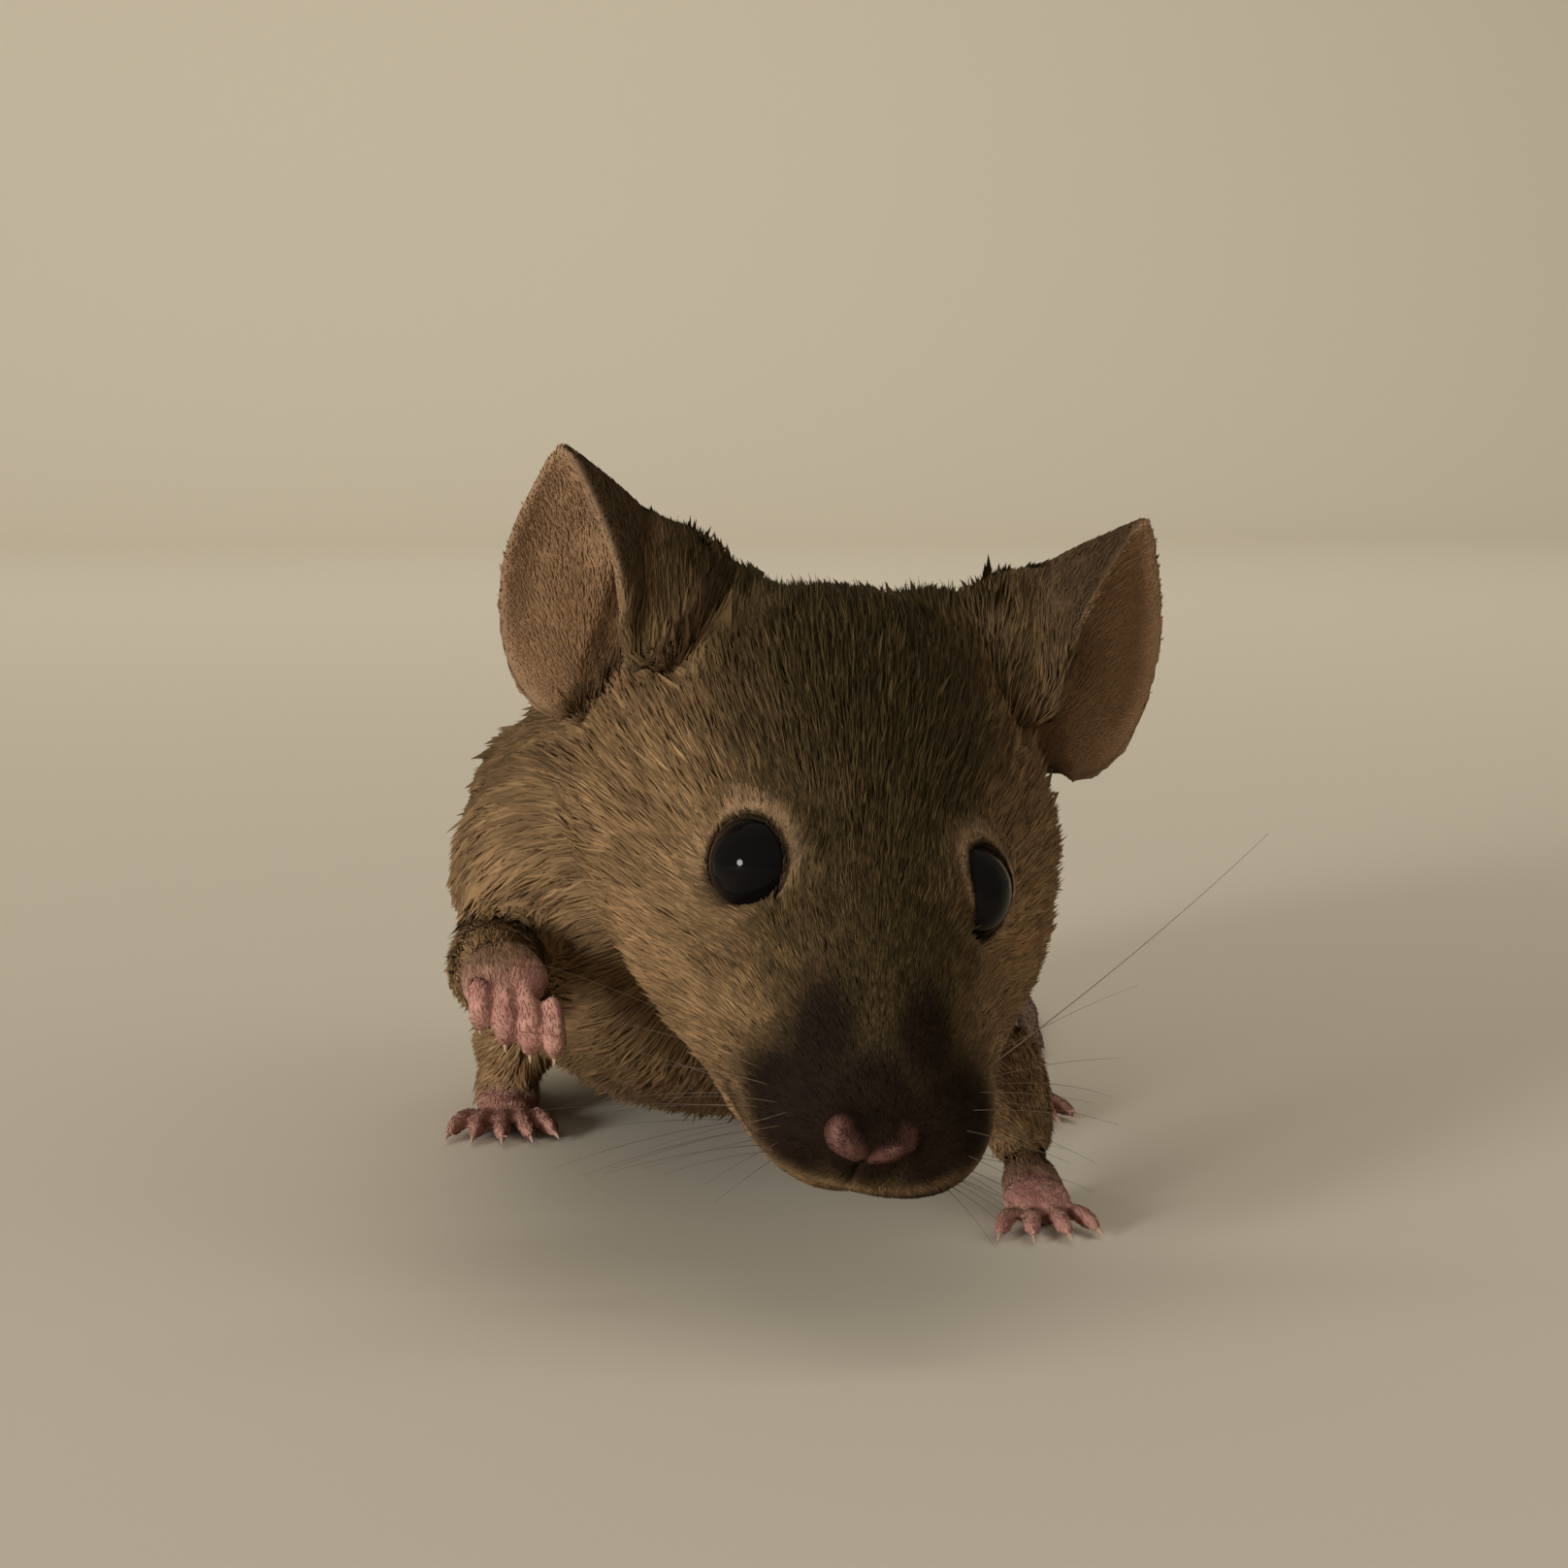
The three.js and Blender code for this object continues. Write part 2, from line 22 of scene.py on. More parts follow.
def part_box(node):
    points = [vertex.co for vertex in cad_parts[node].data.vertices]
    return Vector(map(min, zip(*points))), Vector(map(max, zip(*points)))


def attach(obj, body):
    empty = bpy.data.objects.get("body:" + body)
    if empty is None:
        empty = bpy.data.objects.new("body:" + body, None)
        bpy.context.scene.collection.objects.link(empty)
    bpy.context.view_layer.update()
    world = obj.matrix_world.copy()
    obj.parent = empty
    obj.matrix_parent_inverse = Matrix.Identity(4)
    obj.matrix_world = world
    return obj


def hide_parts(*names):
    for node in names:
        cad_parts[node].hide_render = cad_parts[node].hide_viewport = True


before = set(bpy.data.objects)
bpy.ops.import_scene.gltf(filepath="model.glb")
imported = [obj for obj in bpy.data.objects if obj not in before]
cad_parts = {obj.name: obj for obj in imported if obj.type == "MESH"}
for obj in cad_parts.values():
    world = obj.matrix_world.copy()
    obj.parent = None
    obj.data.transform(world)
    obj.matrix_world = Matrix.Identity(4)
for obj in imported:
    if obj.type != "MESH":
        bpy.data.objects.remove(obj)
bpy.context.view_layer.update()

log = logging.getLogger("mouse")
Array = np.ndarray
Triple = tuple[float, float, float]

MM = 0.001
SEED = 4107
MAP_NAME = "OFBake"
PATCH = 0.003  # size of a tuft's patch on its coat's map
WELD_STEPS = 2e3  # per millimetre, in which corners that coincide are found
TUFT_COVER = 0.6  # how much of its length by its width a tuft covers
HEAD_PITCH = 25.0  # degrees, nose down
HEAD_ROLL = 8.0  # degrees, towards the mouse's left
EYE_OPENING = (4.72, -0.3, 0.04)  # of the left eye, in head coordinates
EYE_FACING = (0.74, -0.61, 0.28)
EYEBALL_RADIUS = 1.95
EYE_OPENING_RADIUS = 1.8
BALL_RADIUS = {1.0: 2.04, -1.0: 1.8}  # of the eyeball that is seen, by side
BALL_SHIFT = {1.0: (0.0, 0.0, 0.0), -1.0: (0.29, 0.0, 0.3)}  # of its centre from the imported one
LID_FACING = {1.0: (0.68, -0.61, 0.4), -1.0: (0.75, -0.577, 0.323)}  # by side, before mirroring
LID_OPENING = {  # degrees off its middle, more of it up and down, and its lean, by side
    1.0: (40.5, 21.0, 7.0), -1.0: (69.8, 0.5, 19.0),
}
NOSE_TIP = (-0.2, -11.3, -4.7)
EAR_EDGE = (  # points round the left ear's leaf, from the notch over the tip, and its bow at each
    ((8.5, 8.1, 3.0), -0.3), ((9.8, 9.7, 7.1), -0.2), ((11.6, 12.0, 10.1), 0.0),
    ((12.4, 12.8, 10.95), 0.0), ((13.2, 13.3, 8.6), 0.4), ((13.8, 13.4, 5.0), 0.9),
    ((13.4, 12.6, 1.9), 1.2), ((12.4, 11.5, 0.1), 1.3), ((10.6, 10.6, -0.7), 1.2),
    ((8.2, 12.4, 0.4), 1.0), ((6.2, 13.6, 3.4), 0.6), ((4.4, 12.8, 6.5), 0.0),
    ((5.6, 9.8, 5.6), -0.2),
)
EAR_FOLD = (8.4, 12.6, 8.25)
EAR_PIVOT = (7.0, 11.0, 0.0)
EAR_TURN = {1.0: -6.0, -1.0: -4.0}  # degrees about the pivot, by side, before mirroring
EAR_LEAN = {1.0: 7.0, -1.0: 0.0}  # degrees that the tip leans towards the crown, by side
EAR_MIDDLE = (11.5, 0.0, 5.0)  # what the leaning turns about
EAR_WIDTH = {1.0: 1.08, -1.0: 0.97}  # of the leaf, each side of its fold
HIP_SHIFT = 1.0
WRISTS = (  # where the fur of a leg ends, in ground coordinates
    (-13.5, 6.4, 12.4), (9.7, 12.6, 2.0),
    (11.4 + HIP_SHIFT, 41.5, 2.0), (-11.4 + HIP_SHIFT, 41.5, 2.0),
)
EYES_ABOVE_FLOOR = 16.0
SIDES = {"left": 1.0, "right": -1.0}


class Slot(str, Enum):
    """Names of material slots, which the coat's layout carries with its pieces but sets on none."""

    FUR_DARK = "fur_dark"
    FUR_TAN = "fur_tan"
    EAR = "ear_skin"
    BARE = "bare_skin"
    TAIL = "tail_skin"
    EYE = "eye"


# ---------------------------------------------------------------- arrays


def unit(vectors: Array) -> Array:
    """Rows scaled to length one."""
    return vectors / np.maximum(np.linalg.norm(vectors, axis=-1, keepdims=True), 1e-9)


def dot(a: Array, b: Array) -> Array:
    """Row by row products, as a column."""
    return np.sum(a * b, axis=-1, keepdims=True)


def smooth(low: float, high: float, x: Array) -> Array:
    """0 below low, 1 above high and an even S between them."""
    t = np.clip((x - low) / (high - low), 0.0, 1.0)
    return t * t * (3.0 - 2.0 * t)


def blob(points: Array, centre: Sequence[float], sizes: Sequence[float] | float) -> Array:
    """A soft hump of height 1 at a centre, with its reach along each axis."""
    away = (points - np.asarray(centre)) / np.asarray(sizes)
    return np.exp(-np.sum(away * away, axis=-1))


def lerp(a: Array | float, b: Array | float, t: Array) -> Array:
    """From a to b as t runs from 0 to 1."""
    return a + (b - a) * t


def capsule(points: Array, start: Sequence[float], end: Sequence[float]) -> Array:
    """How far points are from a straight line between two places."""
    start, along = np.asarray(start), np.subtract(end, start)
    share = np.clip((points - start) @ along / (along @ along), 0.0, 1.0)
    return np.linalg.norm(points - start - share[:, None] * along, axis=1)


def spline(knots: Array, places: Array, closed: bool = False, even: bool = False) -> Array:
    """Points on a Catmull-Rom curve, centripetal unless it is even.

    Args:
        knots: What the curve runs through.
        places: Where on it, from 0 at the first knot to 1 at the end.
        closed: Whether it comes back to its first knot.
        even: Whether all stretches count as equally long.

    Returns:
        One point for each place.
    """
    knots = np.asarray(knots, float)
    count = len(knots)
    if closed:
        padded, spans = np.vstack([knots[-1:], knots, knots[:2]]), count
    else:
        padded = np.vstack([2 * knots[0] - knots[1], knots, 2 * knots[-1] - knots[-2]])
        spans = count - 1
    place = np.asarray(places) * spans
    i = np.clip(place.astype(int), 0, spans - 1)
    t = (place - i)[:, None]
    a, b, c, d = (padded[i + k] for k in range(4))
    gaps = [
        np.sqrt(np.linalg.norm(q - p, axis=1, keepdims=True)) for p, q in ((a, b), (b, c), (c, d))
    ]
    before, here, after = (np.ones_like(gap) if even else np.maximum(gap, 1e-4) for gap in gaps)
    start = here * ((b - a) / before - (c - a) / (before + here) + (c - b) / here)
    end = here * ((c - b) / here - (d - b) / (here + after) + (d - c) / after)
    square = (3 * (c - b) - 2 * start - end) * t**2
    cube = (2 * (b - c) + start + end) * t**3
    return b + start * t + square + cube


def above_floor(points: Array, least: float = 0.0) -> Array:
    """Points with none lower than a height over the floor."""
    kept = points.copy()
    kept[..., 2] = np.maximum(kept[..., 2], least)
    return kept


@dataclass(frozen=True)
class HeadFrame:
    """Where the head's own coordinates lie in the row frame, in millimetres."""

    origin: Array
    turn: Array

    @classmethod
    def from_eyes(cls) -> "HeadFrame":
        """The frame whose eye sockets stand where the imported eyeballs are."""
        pitch, roll = math.radians(HEAD_PITCH), math.radians(HEAD_ROLL)
        turn = np.array(Matrix.Rotation(pitch, 3, "X") @ Matrix.Rotation(roll, 3, "Y"))
        corners = [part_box(f"eye_{side}") for side in SIDES]
        middle = np.mean([np.add(low, high) / 2 for low, high in corners], axis=0) / MM
        centre = cls.eye_centre(1.0)
        return cls(middle - turn @ np.array([0.0, centre[1], centre[2]]), turn)

    @staticmethod
    def eye_facing(side: float) -> Array:
        """The way that an eye looks, in head coordinates."""
        return unit(np.array(EYE_FACING) * (side, 1.0, 1.0))

    @staticmethod
    def lid_facing(side: float) -> Array:
        """The way that the opening between an eye's lids faces, in head coordinates."""
        return unit(np.array(LID_FACING[side]) * (side, 1.0, 1.0))

    @classmethod
    def eye_centre(cls, side: float) -> Array:
        """The centre of the eyeball that is seen, in head coordinates."""
        depth = math.sqrt(EYEBALL_RADIUS**2 - EYE_OPENING_RADIUS**2)
        middle = np.array(EYE_OPENING) * (side, 1.0, 1.0) + BALL_SHIFT[side]
        return middle - depth * cls.eye_facing(side)

    @classmethod
    def opening(cls, side: float, ray: Array) -> Array:
        """How many degrees directions from an eye's centre are outside the opening of its lids."""
        facing = cls.lid_facing(side)
        across = unit(np.cross((0.0, 0.0, 1.0), facing))
        upright = np.cross(facing, across)
        wide, taller, lean = LID_OPENING[side]
        turn = np.arctan2(ray @ upright, ray @ across) - math.radians(90 - lean * side)
        off_middle = np.degrees(np.arccos(np.clip(ray @ facing, -1, 1)))
        return off_middle - wide - taller * np.cos(turn) ** 2

    def local(self, points: Array) -> Array:
        """Row coordinates as head coordinates."""
        return (points - self.origin) @ self.turn

    def row(self, points: Array) -> Array:
        """Head coordinates as row coordinates."""
        return np.asarray(points) @ self.turn.T + self.origin

    def ground(self, points: Array) -> Array:
        """Coordinates with the eyes' midpoint above their origin, as row coordinates."""
        return np.asarray(points) + self.origin - (0.0, 0.0, EYES_ABOVE_FLOOR)


# ---------------------------------------------------------------- surfaces


@dataclass
class Surface:
    """A triangle mesh in millimetres, with its edges where they are needed."""

    points: Array
    faces: Array
    edges: Array | None = None

    @classmethod
    def of_mesh(cls, mesh: bpy.types.Mesh, scale: float = 1.0) -> "Surface":
        """Reads a mesh, its polygons cut into triangles.

        Args:
            mesh: The mesh to read.
            scale: What its coordinates are multiplied by.

        Returns:
            The surface.
        """
        points = np.empty(3 * len(mesh.vertices), np.float32)
        mesh.vertices.foreach_get("co", points)
        mesh.calc_loop_triangles()
        faces = np.empty(3 * len(mesh.loop_triangles), np.int32)
        mesh.loop_triangles.foreach_get("vertices", faces)
        edges = np.empty(2 * len(mesh.edges), np.int32)
        mesh.edges.foreach_get("vertices", edges)
        return cls(
            points.reshape(-1, 3).astype(float) * scale, faces.reshape(-1, 3), edges.reshape(-1, 2)
        )

    @classmethod
    def of_node(cls, name: str) -> "Surface":
        """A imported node's solid, with coincident corners made one."""
        raw = cls.of_mesh(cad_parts[name].data, 1 / MM)
        _, first, index = np.unique(
            np.round(raw.points * WELD_STEPS).astype(np.int64),
            axis=0, return_index=True, return_inverse=True,
        )
        return cls(raw.points[first], index.reshape(-1)[raw.faces])

    @staticmethod
    def joined(surfaces: Sequence["Surface"]) -> "Surface":
        """Several surfaces as one, without their edges."""
        starts = np.cumsum([0] + [len(s.points) for s in surfaces])
        return Surface(
            np.concatenate([s.points for s in surfaces]),
            np.concatenate([s.faces + start for s, start in zip(surfaces, starts)]),
        )

    def normals(self) -> Array:
        """Unit normals at the points, weighted by the area of the faces round them."""
        corner = self.points[self.faces]
        across = np.cross(corner[:, 1] - corner[:, 0], corner[:, 2] - corner[:, 0])
        total = np.zeros_like(self.points)
        for axis in range(3):
            for k in range(3):
                total[:, axis] += np.bincount(
                    self.faces[:, k], across[:, axis], minlength=len(self.points)
                )
        return unit(total)

    def areas(self) -> Array:
        """The area of each face."""
        corner = self.points[self.faces]
        return 0.5 * np.linalg.norm(
            np.cross(corner[:, 1] - corner[:, 0], corner[:, 2] - corner[:, 0]), axis=1
        )

    def to_mesh(self, name: str, scale: float = MM) -> bpy.types.Mesh:
        """A Blender mesh of the surface, shaded smooth."""
        mesh = bpy.data.meshes.new(name)
        mesh.vertices.add(len(self.points))
        mesh.vertices.foreach_set("co", (self.points * scale).astype(np.float32).ravel())
        mesh.loops.add(self.faces.size)
        mesh.loops.foreach_set("vertex_index", self.faces.astype(np.int32).ravel())
        mesh.polygons.add(len(self.faces))
        mesh.polygons.foreach_set("loop_start", np.arange(0, self.faces.size, 3, dtype=np.int32))
        mesh.polygons.foreach_set("use_smooth", np.ones(len(self.faces), bool))
        mesh.update(calc_edges=True)
        return mesh

    def through(
        self, modifier: str, groups: dict[str, Array] | None = None, **settings: Any
    ) -> "Surface":
        """The surface after one Blender modifier, worked out in millimetres.

        Args:
            modifier: The modifier's type.
            groups: Vertex weights by the name of their group.
            **settings: The modifier's settings.

        Returns:
            The new surface, with its edges.
        """
        obj = bpy.data.objects.new("workpiece", self.to_mesh("workpiece", 1.0))
        bpy.context.scene.collection.objects.link(obj)
        for name, weights in (groups or {}).items():
            group = obj.vertex_groups.new(name=name)
            levels = np.round(weights * 10).astype(int)
            for level in range(1, 11):
                group.add(np.nonzero(levels == level)[0].tolist(), level / 10, "REPLACE")
        step = obj.modifiers.new("step", modifier)
        for key, value in settings.items():
            setattr(step, key, value)
        shaped = obj.evaluated_get(bpy.context.evaluated_depsgraph_get())
        result = Surface.of_mesh(shaped.to_mesh())
        shaped.to_mesh_clear()
        mesh = obj.data
        bpy.data.objects.remove(obj)
        bpy.data.meshes.remove(mesh)
        return result


class Neighbours:
    """Averages values over the points that share an edge."""

    def __init__(self, count: int, edges: Array) -> None:
        """Sorts the edges by the point that they leave."""
        source = np.concatenate([edges[:, 0], edges[:, 1], np.arange(count)])
        other = np.concatenate([edges[:, 1], edges[:, 0], np.arange(count)])
        order = np.argsort(source, kind="stable")
        self.other = other[order]
        self.first = np.searchsorted(source[order], np.arange(count))
        self.valence = np.bincount(source, minlength=count).astype(float)

    def mean(self, values: Array) -> Array:
        """Each point's average over itself and its neighbours."""
        total = np.add.reduceat(values[self.other], self.first, axis=0)
        return total / (self.valence[:, None] if values.ndim > 1 else self.valence)

    def spread(self, values: Array, rounds: int) -> Array:
        """Values averaged several times over."""
        for _ in range(rounds):
            values = self.mean(values)
        return values


class Nearest:
    """Finds the nearest of a cloud of points."""

    def __init__(self, points: Array) -> None:
        """Builds the search tree."""
        self.tree = KDTree(len(points))
        for i, point in enumerate(points):
            self.tree.insert(point, i)
        self.tree.balance()

    def __call__(self, points: Array) -> Array:
        """The index of the nearest point to each row."""
        find = self.tree.find
        return np.array([find(point)[1] for point in points])


# ---------------------------------------------------------------- regions of the animal


@dataclass(frozen=True)
class Region:
    """How one stretch of the animal is covered. Lengths are in millimetres."""

    depth: float  # of the coat over the skin
    length: float  # of a tuft
    width: float  # of a tuft
    layers: float  # tufts over any point
    flow: Triple  # the lie of the coat, outward, back and up
    ease: float = 1.0  # how far facets are smoothed away
    grown: float = 0.2  # what closes the gap to the neighbouring solids
    clump: float = 0.35  # how far tips draw together


REGIONS = {
    "head": Region(0.5, 1.4, 0.07, 6.5, (0.0, 1.0, 0.0), 0.6, 0.2, 0.2),
    "lower_jaw": Region(0.3, 0.9, 0.065, 5.0, (0.0, 1.0, -0.1), 0.4, 0.2, 0.15),
    "nose": Region(0.03, 0.5, 0.05, 4.0, (0.0, 1.0, 0.3), 0.15, 0.2, 0.0),
    "ear": Region(0.1, 0.6, 0.04, 1.5, (0.3, 0.2, 1.0), 0.12, 0.16, 0.0),
    "neck": Region(0.8, 2.3, 0.08, 6.0, (0.15, 1.0, -0.25), 1.0, 0.2, 0.2),
    "chest": Region(0.9, 2.7, 0.085, 5.2, (0.1, 1.0, -0.35), 1.0, 0.2, 0.2),
    "belly": Region(0.95, 3.0, 0.09, 4.8, (0.05, 1.0, -0.22), 1.0, 0.2, 0.22),
    "foreleg_upper": Region(0.7, 2.1, 0.075, 6.0, (0.45, 0.4, -0.8), 0.9, 0.2, 0.18),
    "foreleg_lower": Region(0.35, 1.2, 0.065, 5.2, (0.05, -0.9, 0.0), 0.5, 0.36, 0.15),
    "forepaw": Region(0.04, 0.35, 0.03, 0.3, (0.0, -1.0, -0.4), 0.05, 0.0, 0.0),
    "thigh": Region(0.85, 2.6, 0.09, 4.8, (0.15, 0.75, -0.6), 1.0, 0.2, 0.2),
    "shank": Region(0.45, 1.5, 0.07, 5.0, (0.0, 0.9, -0.35), 0.5, 0.36, 0.15),
    "hind_foot": Region(0.05, 0.5, 0.035, 0.6, (0.05, -1.0, -0.1), 0.08, 0.0, 0.0),
    "tail": Region(0.1, 0.8, 0.04, 0.35, (0.0, 1.0, 0.0), 0.5, 0.2, 0.0),
}
HEAD_REGIONS = ("head", "lower_jaw", "nose")
NODES = sorted(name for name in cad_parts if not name.startswith("eye_"))


def region_name(node: str) -> str:
    """The region that a node belongs to."""
    base = node.removesuffix("_left").removesuffix("_right")
    return "tail" if base.startswith("tail") else base


REGION_NAMES = [region_name(node) for node in NODES]
NODE_SIDE = np.array([-1.0 if node.endswith("_right") else 1.0 for node in NODES])


def tail_spine(count: int = 240) -> Array:
    """Points along the tail's middle, in the coordinates that HeadFrame.ground reads."""
    knots = [
        (1.0, 46.5, 7.2), (1.2, 51.5, 4.2), (1.6, 57.5, 1.7), (3.6, 65.0, 1.1),
        (8.8, 70.6, 0.95), (15.2, 70.6, 0.85), (19.4, 65.4, 0.75), (20.2, 58.2, 0.68),
        (19.0, 51.2, 0.6), (18.0, 44.8, 0.5),
    ]
    return spline(knots, np.linspace(0, 1, count))


@dataclass
class EarLeaf:
    """The sheet in the middle of one ear, which tells its hollow face from its back."""

    side: float
    around_steps: int = 260
    out_steps: int = 44
    places: Array = field(init=False)
    inward: Array = field(init=False)
    around: Array = field(init=False)
    out: Array = field(init=False)

    def __post_init__(self) -> None:
        """Samples the sheet, in head coordinates."""
        around = np.arange(self.around_steps) / self.around_steps
        out = np.linspace(0.02, 1.0, self.out_steps)[None, :, None]
        edge = spline([place for place, _ in EAR_EDGE], around, closed=True)
        bow = spline([(0.0, bow, 0.0) for _, bow in EAR_EDGE], around, closed=True, even=True)
        sheet = lerp(np.array(EAR_FOLD), edge[:, None], out) + 4 * out * (1 - out) * bow[:, None]
        tangent = np.roll(sheet, -1, axis=0) - np.roll(sheet, 1, axis=0)
        inward = unit(np.cross(tangent, np.gradient(sheet, axis=1)))
        lean = np.array(Matrix.Rotation(math.radians(-EAR_LEAN[self.side]), 3, "Y"))
        turn = np.array(Matrix.Rotation(math.radians(EAR_TURN[self.side]), 3, "Z"))
        flip = np.array((self.side, 1.0, 1.0))
        sheet = (sheet - EAR_FOLD) * (EAR_WIDTH[self.side], 1.0, 1.0) + EAR_FOLD
        leaning = (sheet - EAR_MIDDLE) @ lean.T + EAR_MIDDLE
        self.places = (((leaning - EAR_PIVOT) @ turn.T + EAR_PIVOT) * flip).reshape(-1, 3)
        self.inward = (inward @ lean.T @ turn.T * flip).reshape(-1, 3)
        self.around = np.repeat(around, self.out_steps)
        self.out = np.tile(out.ravel(), self.around_steps)

    def read(self, local: Array) -> tuple[Array, Array, Array, Array]:
        """Where points of the ear lie on its sheet.

        Args:
            local: The points, in head coordinates.

        Returns:
            1 on the hollow face and 0 on the back, places round and out, and the sheet's way in.
        """
        index = Nearest(self.places)(local)
        away = local - self.places[index]
        above = dot(away, self.inward[index])[:, 0]
        hollow = smooth(-0.12, 0.12, above) * (
            1.0 - smooth(0.65, 0.95, np.linalg.norm(away, axis=1))
        )
        return hollow, self.around[index], self.out[index], self.inward[index]


# ---------------------------------------------------------------- the skin's shape


@dataclass
class Skin:
    """The one skin under the coat, with what every point of it carries."""

    head: HeadFrame
    pitch: float = 0.15  # of the grid that joins the solids
    facets: int = 150_000  # triangles kept
    easing: int = 45  # rounds of smoothing at full ease
    rim_rounds: int = 14  # of smoothing that keeps the ears' size
    surface: Surface = field(init=False)
    normal: Array = field(init=False)
    node: Array = field(init=False)
    flow: Array = field(init=False)
    traits: dict[str, Array] = field(init=False)
    marks: dict[str, Array] = field(init=False)

    def build(self) -> None:
        """Joins the solids of flesh, rounds them off, draws them in and carves the details."""
        self.label_cloud()
        joined = self.union()
        log.info("skin: %d points joined", len(joined.points))
        drawn = self.draw_in(joined)
        kept = self.thin_out(drawn)
        self.surface = self.carve(kept)
        log.info("skin: %d points, %d triangles", len(self.surface.points), len(self.surface.faces))
        self.read_traits()
        self.lay_flow()
        self.mark()

    # -- solids to one surface

    def label_cloud(self) -> None:
        """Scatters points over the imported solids, to tell which node a place belongs to."""
        rng = np.random.default_rng(SEED)
        clouds, owners = [], []
        for i, node in enumerate(NODES):
            surface = Surface.of_node(node)
            area = surface.areas()
            count = max(60, int(area.sum() * 5))
            face = rng.choice(len(area), count, p=area / area.sum())
            w = rng.dirichlet((1, 1, 1), count)[:, :, None]
            clouds.append((surface.points[surface.faces[face]] * w).sum(axis=1))
            owners.append(np.full(count, i))
        self.owner_of = np.concatenate(owners)
        self.nearest_cloud = Nearest(np.concatenate(clouds))

    def owners(self, points: Array) -> Array:
        """The index of the node that each point belongs to."""
        return self.owner_of[self.nearest_cloud(points)]

    def lid(self, side: float) -> Surface:
        """A ring of flesh round one eye, which comes up over the eyeball to the opening."""
        facing = self.head.lid_facing(side)
        across = unit(np.cross((0.0, 0.0, 1.0), facing))
        upright = np.cross(facing, across)
        turns = np.linspace(0, 2 * math.pi, 64, endpoint=False)
        wide, taller, lean = LID_OPENING[side]
        lean = math.radians(90 - lean * side)
        profile = [  # angle off the opening's middle, more of it up and down, and radius
            (wide - 9, taller, 1.9), (wide - 7, taller, 2.3), (wide + 9, 0.8 * taller, 2.44),
            (wide + 31, 8, 2.6), (wide + 57, 0, 2.76), (wide + 57, 0, 2.3), (wide + 31, 8, 1.9),
        ]
        rings = []
        scale = BALL_RADIUS[side] / BALL_RADIUS[1.0]
        for angle, taller, radius in profile:
            wide = np.radians(angle + taller * np.cos(turns - lean) ** 2)[:, None]
            out = np.cos(turns)[:, None] * across + np.sin(turns)[:, None] * upright
            rings.append(scale * radius * (np.cos(wide) * facing + np.sin(wide) * out))
        points = np.concatenate(rings) + self.head.eye_centre(side)
        count, deep = len(turns), len(profile)
        faces = []
        for k in range(deep):
            for j in range(count):
                a, b = k * count + j, k * count + (j + 1) % count
                c, d = (k + 1) % deep * count + j, (k + 1) % deep * count + (j + 1) % count
                faces += [(a, c, b), (b, c, d)]
        ring = Surface(self.head.row(points), np.array(faces))
        corner = ring.points[ring.faces]
        volume = np.sum(corner[:, 0] * np.cross(corner[:, 1], corner[:, 2]))
        return ring if volume > 0 else Surface(ring.points, ring.faces[:, ::-1])

    def ear_rim(self, side: float) -> Surface:
        """A thin roll of flesh round the edge of one ear."""
        leaf = EarLeaf(side)
        edge = leaf.places[leaf.out > 0.999]
        inner = leaf.places.reshape(leaf.around_steps, leaf.out_steps, 3)[:, -4]
        path = self.head.row(lerp(edge, inner, 0.6))
        path = np.vstack([path, path[:2]])
        return tubes([path], [np.full(len(path), 0.21)], 8)

    def union(self) -> Surface:
        """All solids of flesh, each grown to close its gaps, as one closed surface."""
        solids = []
        for node, region in zip(NODES, REGION_NAMES):
            solid = Surface.of_node(node)
            solid.points = solid.points + REGIONS[region].grown * solid.normals()
            solids.append(solid)
        solids += [self.lid(side) for side in SIDES.values()]
        solids += [self.ear_rim(side) for side in SIDES.values()]
        return Surface.joined(solids).through(
            "REMESH", mode="VOXEL", voxel_size=self.pitch, adaptivity=0.0
        )

    def eye_distance(self, local: Array) -> Array:
        """How far points in head coordinates are from the nearer eye's centre."""
        gaps = [np.linalg.norm(local - self.head.eye_centre(s), axis=1) for s in SIDES.values()]
        return np.minimum(*gaps)

    def lid_margin(self, local: Array) -> Array:
        """Degrees by which points are outside the nearer eye's lids, more when off both balls."""
        margin = np.full(len(local), 180.0)
        for side in SIDES.values():
            away = local - self.head.eye_centre(side)
            gap = np.linalg.norm(away, axis=1)
            outside = self.head.opening(side, away / gap[:, None])
            off_ball = 90.0 * smooth(1.1, 1.5, gap / BALL_RADIUS[side])
            margin = np.minimum(margin, np.maximum(outside, off_ball))
        return margin

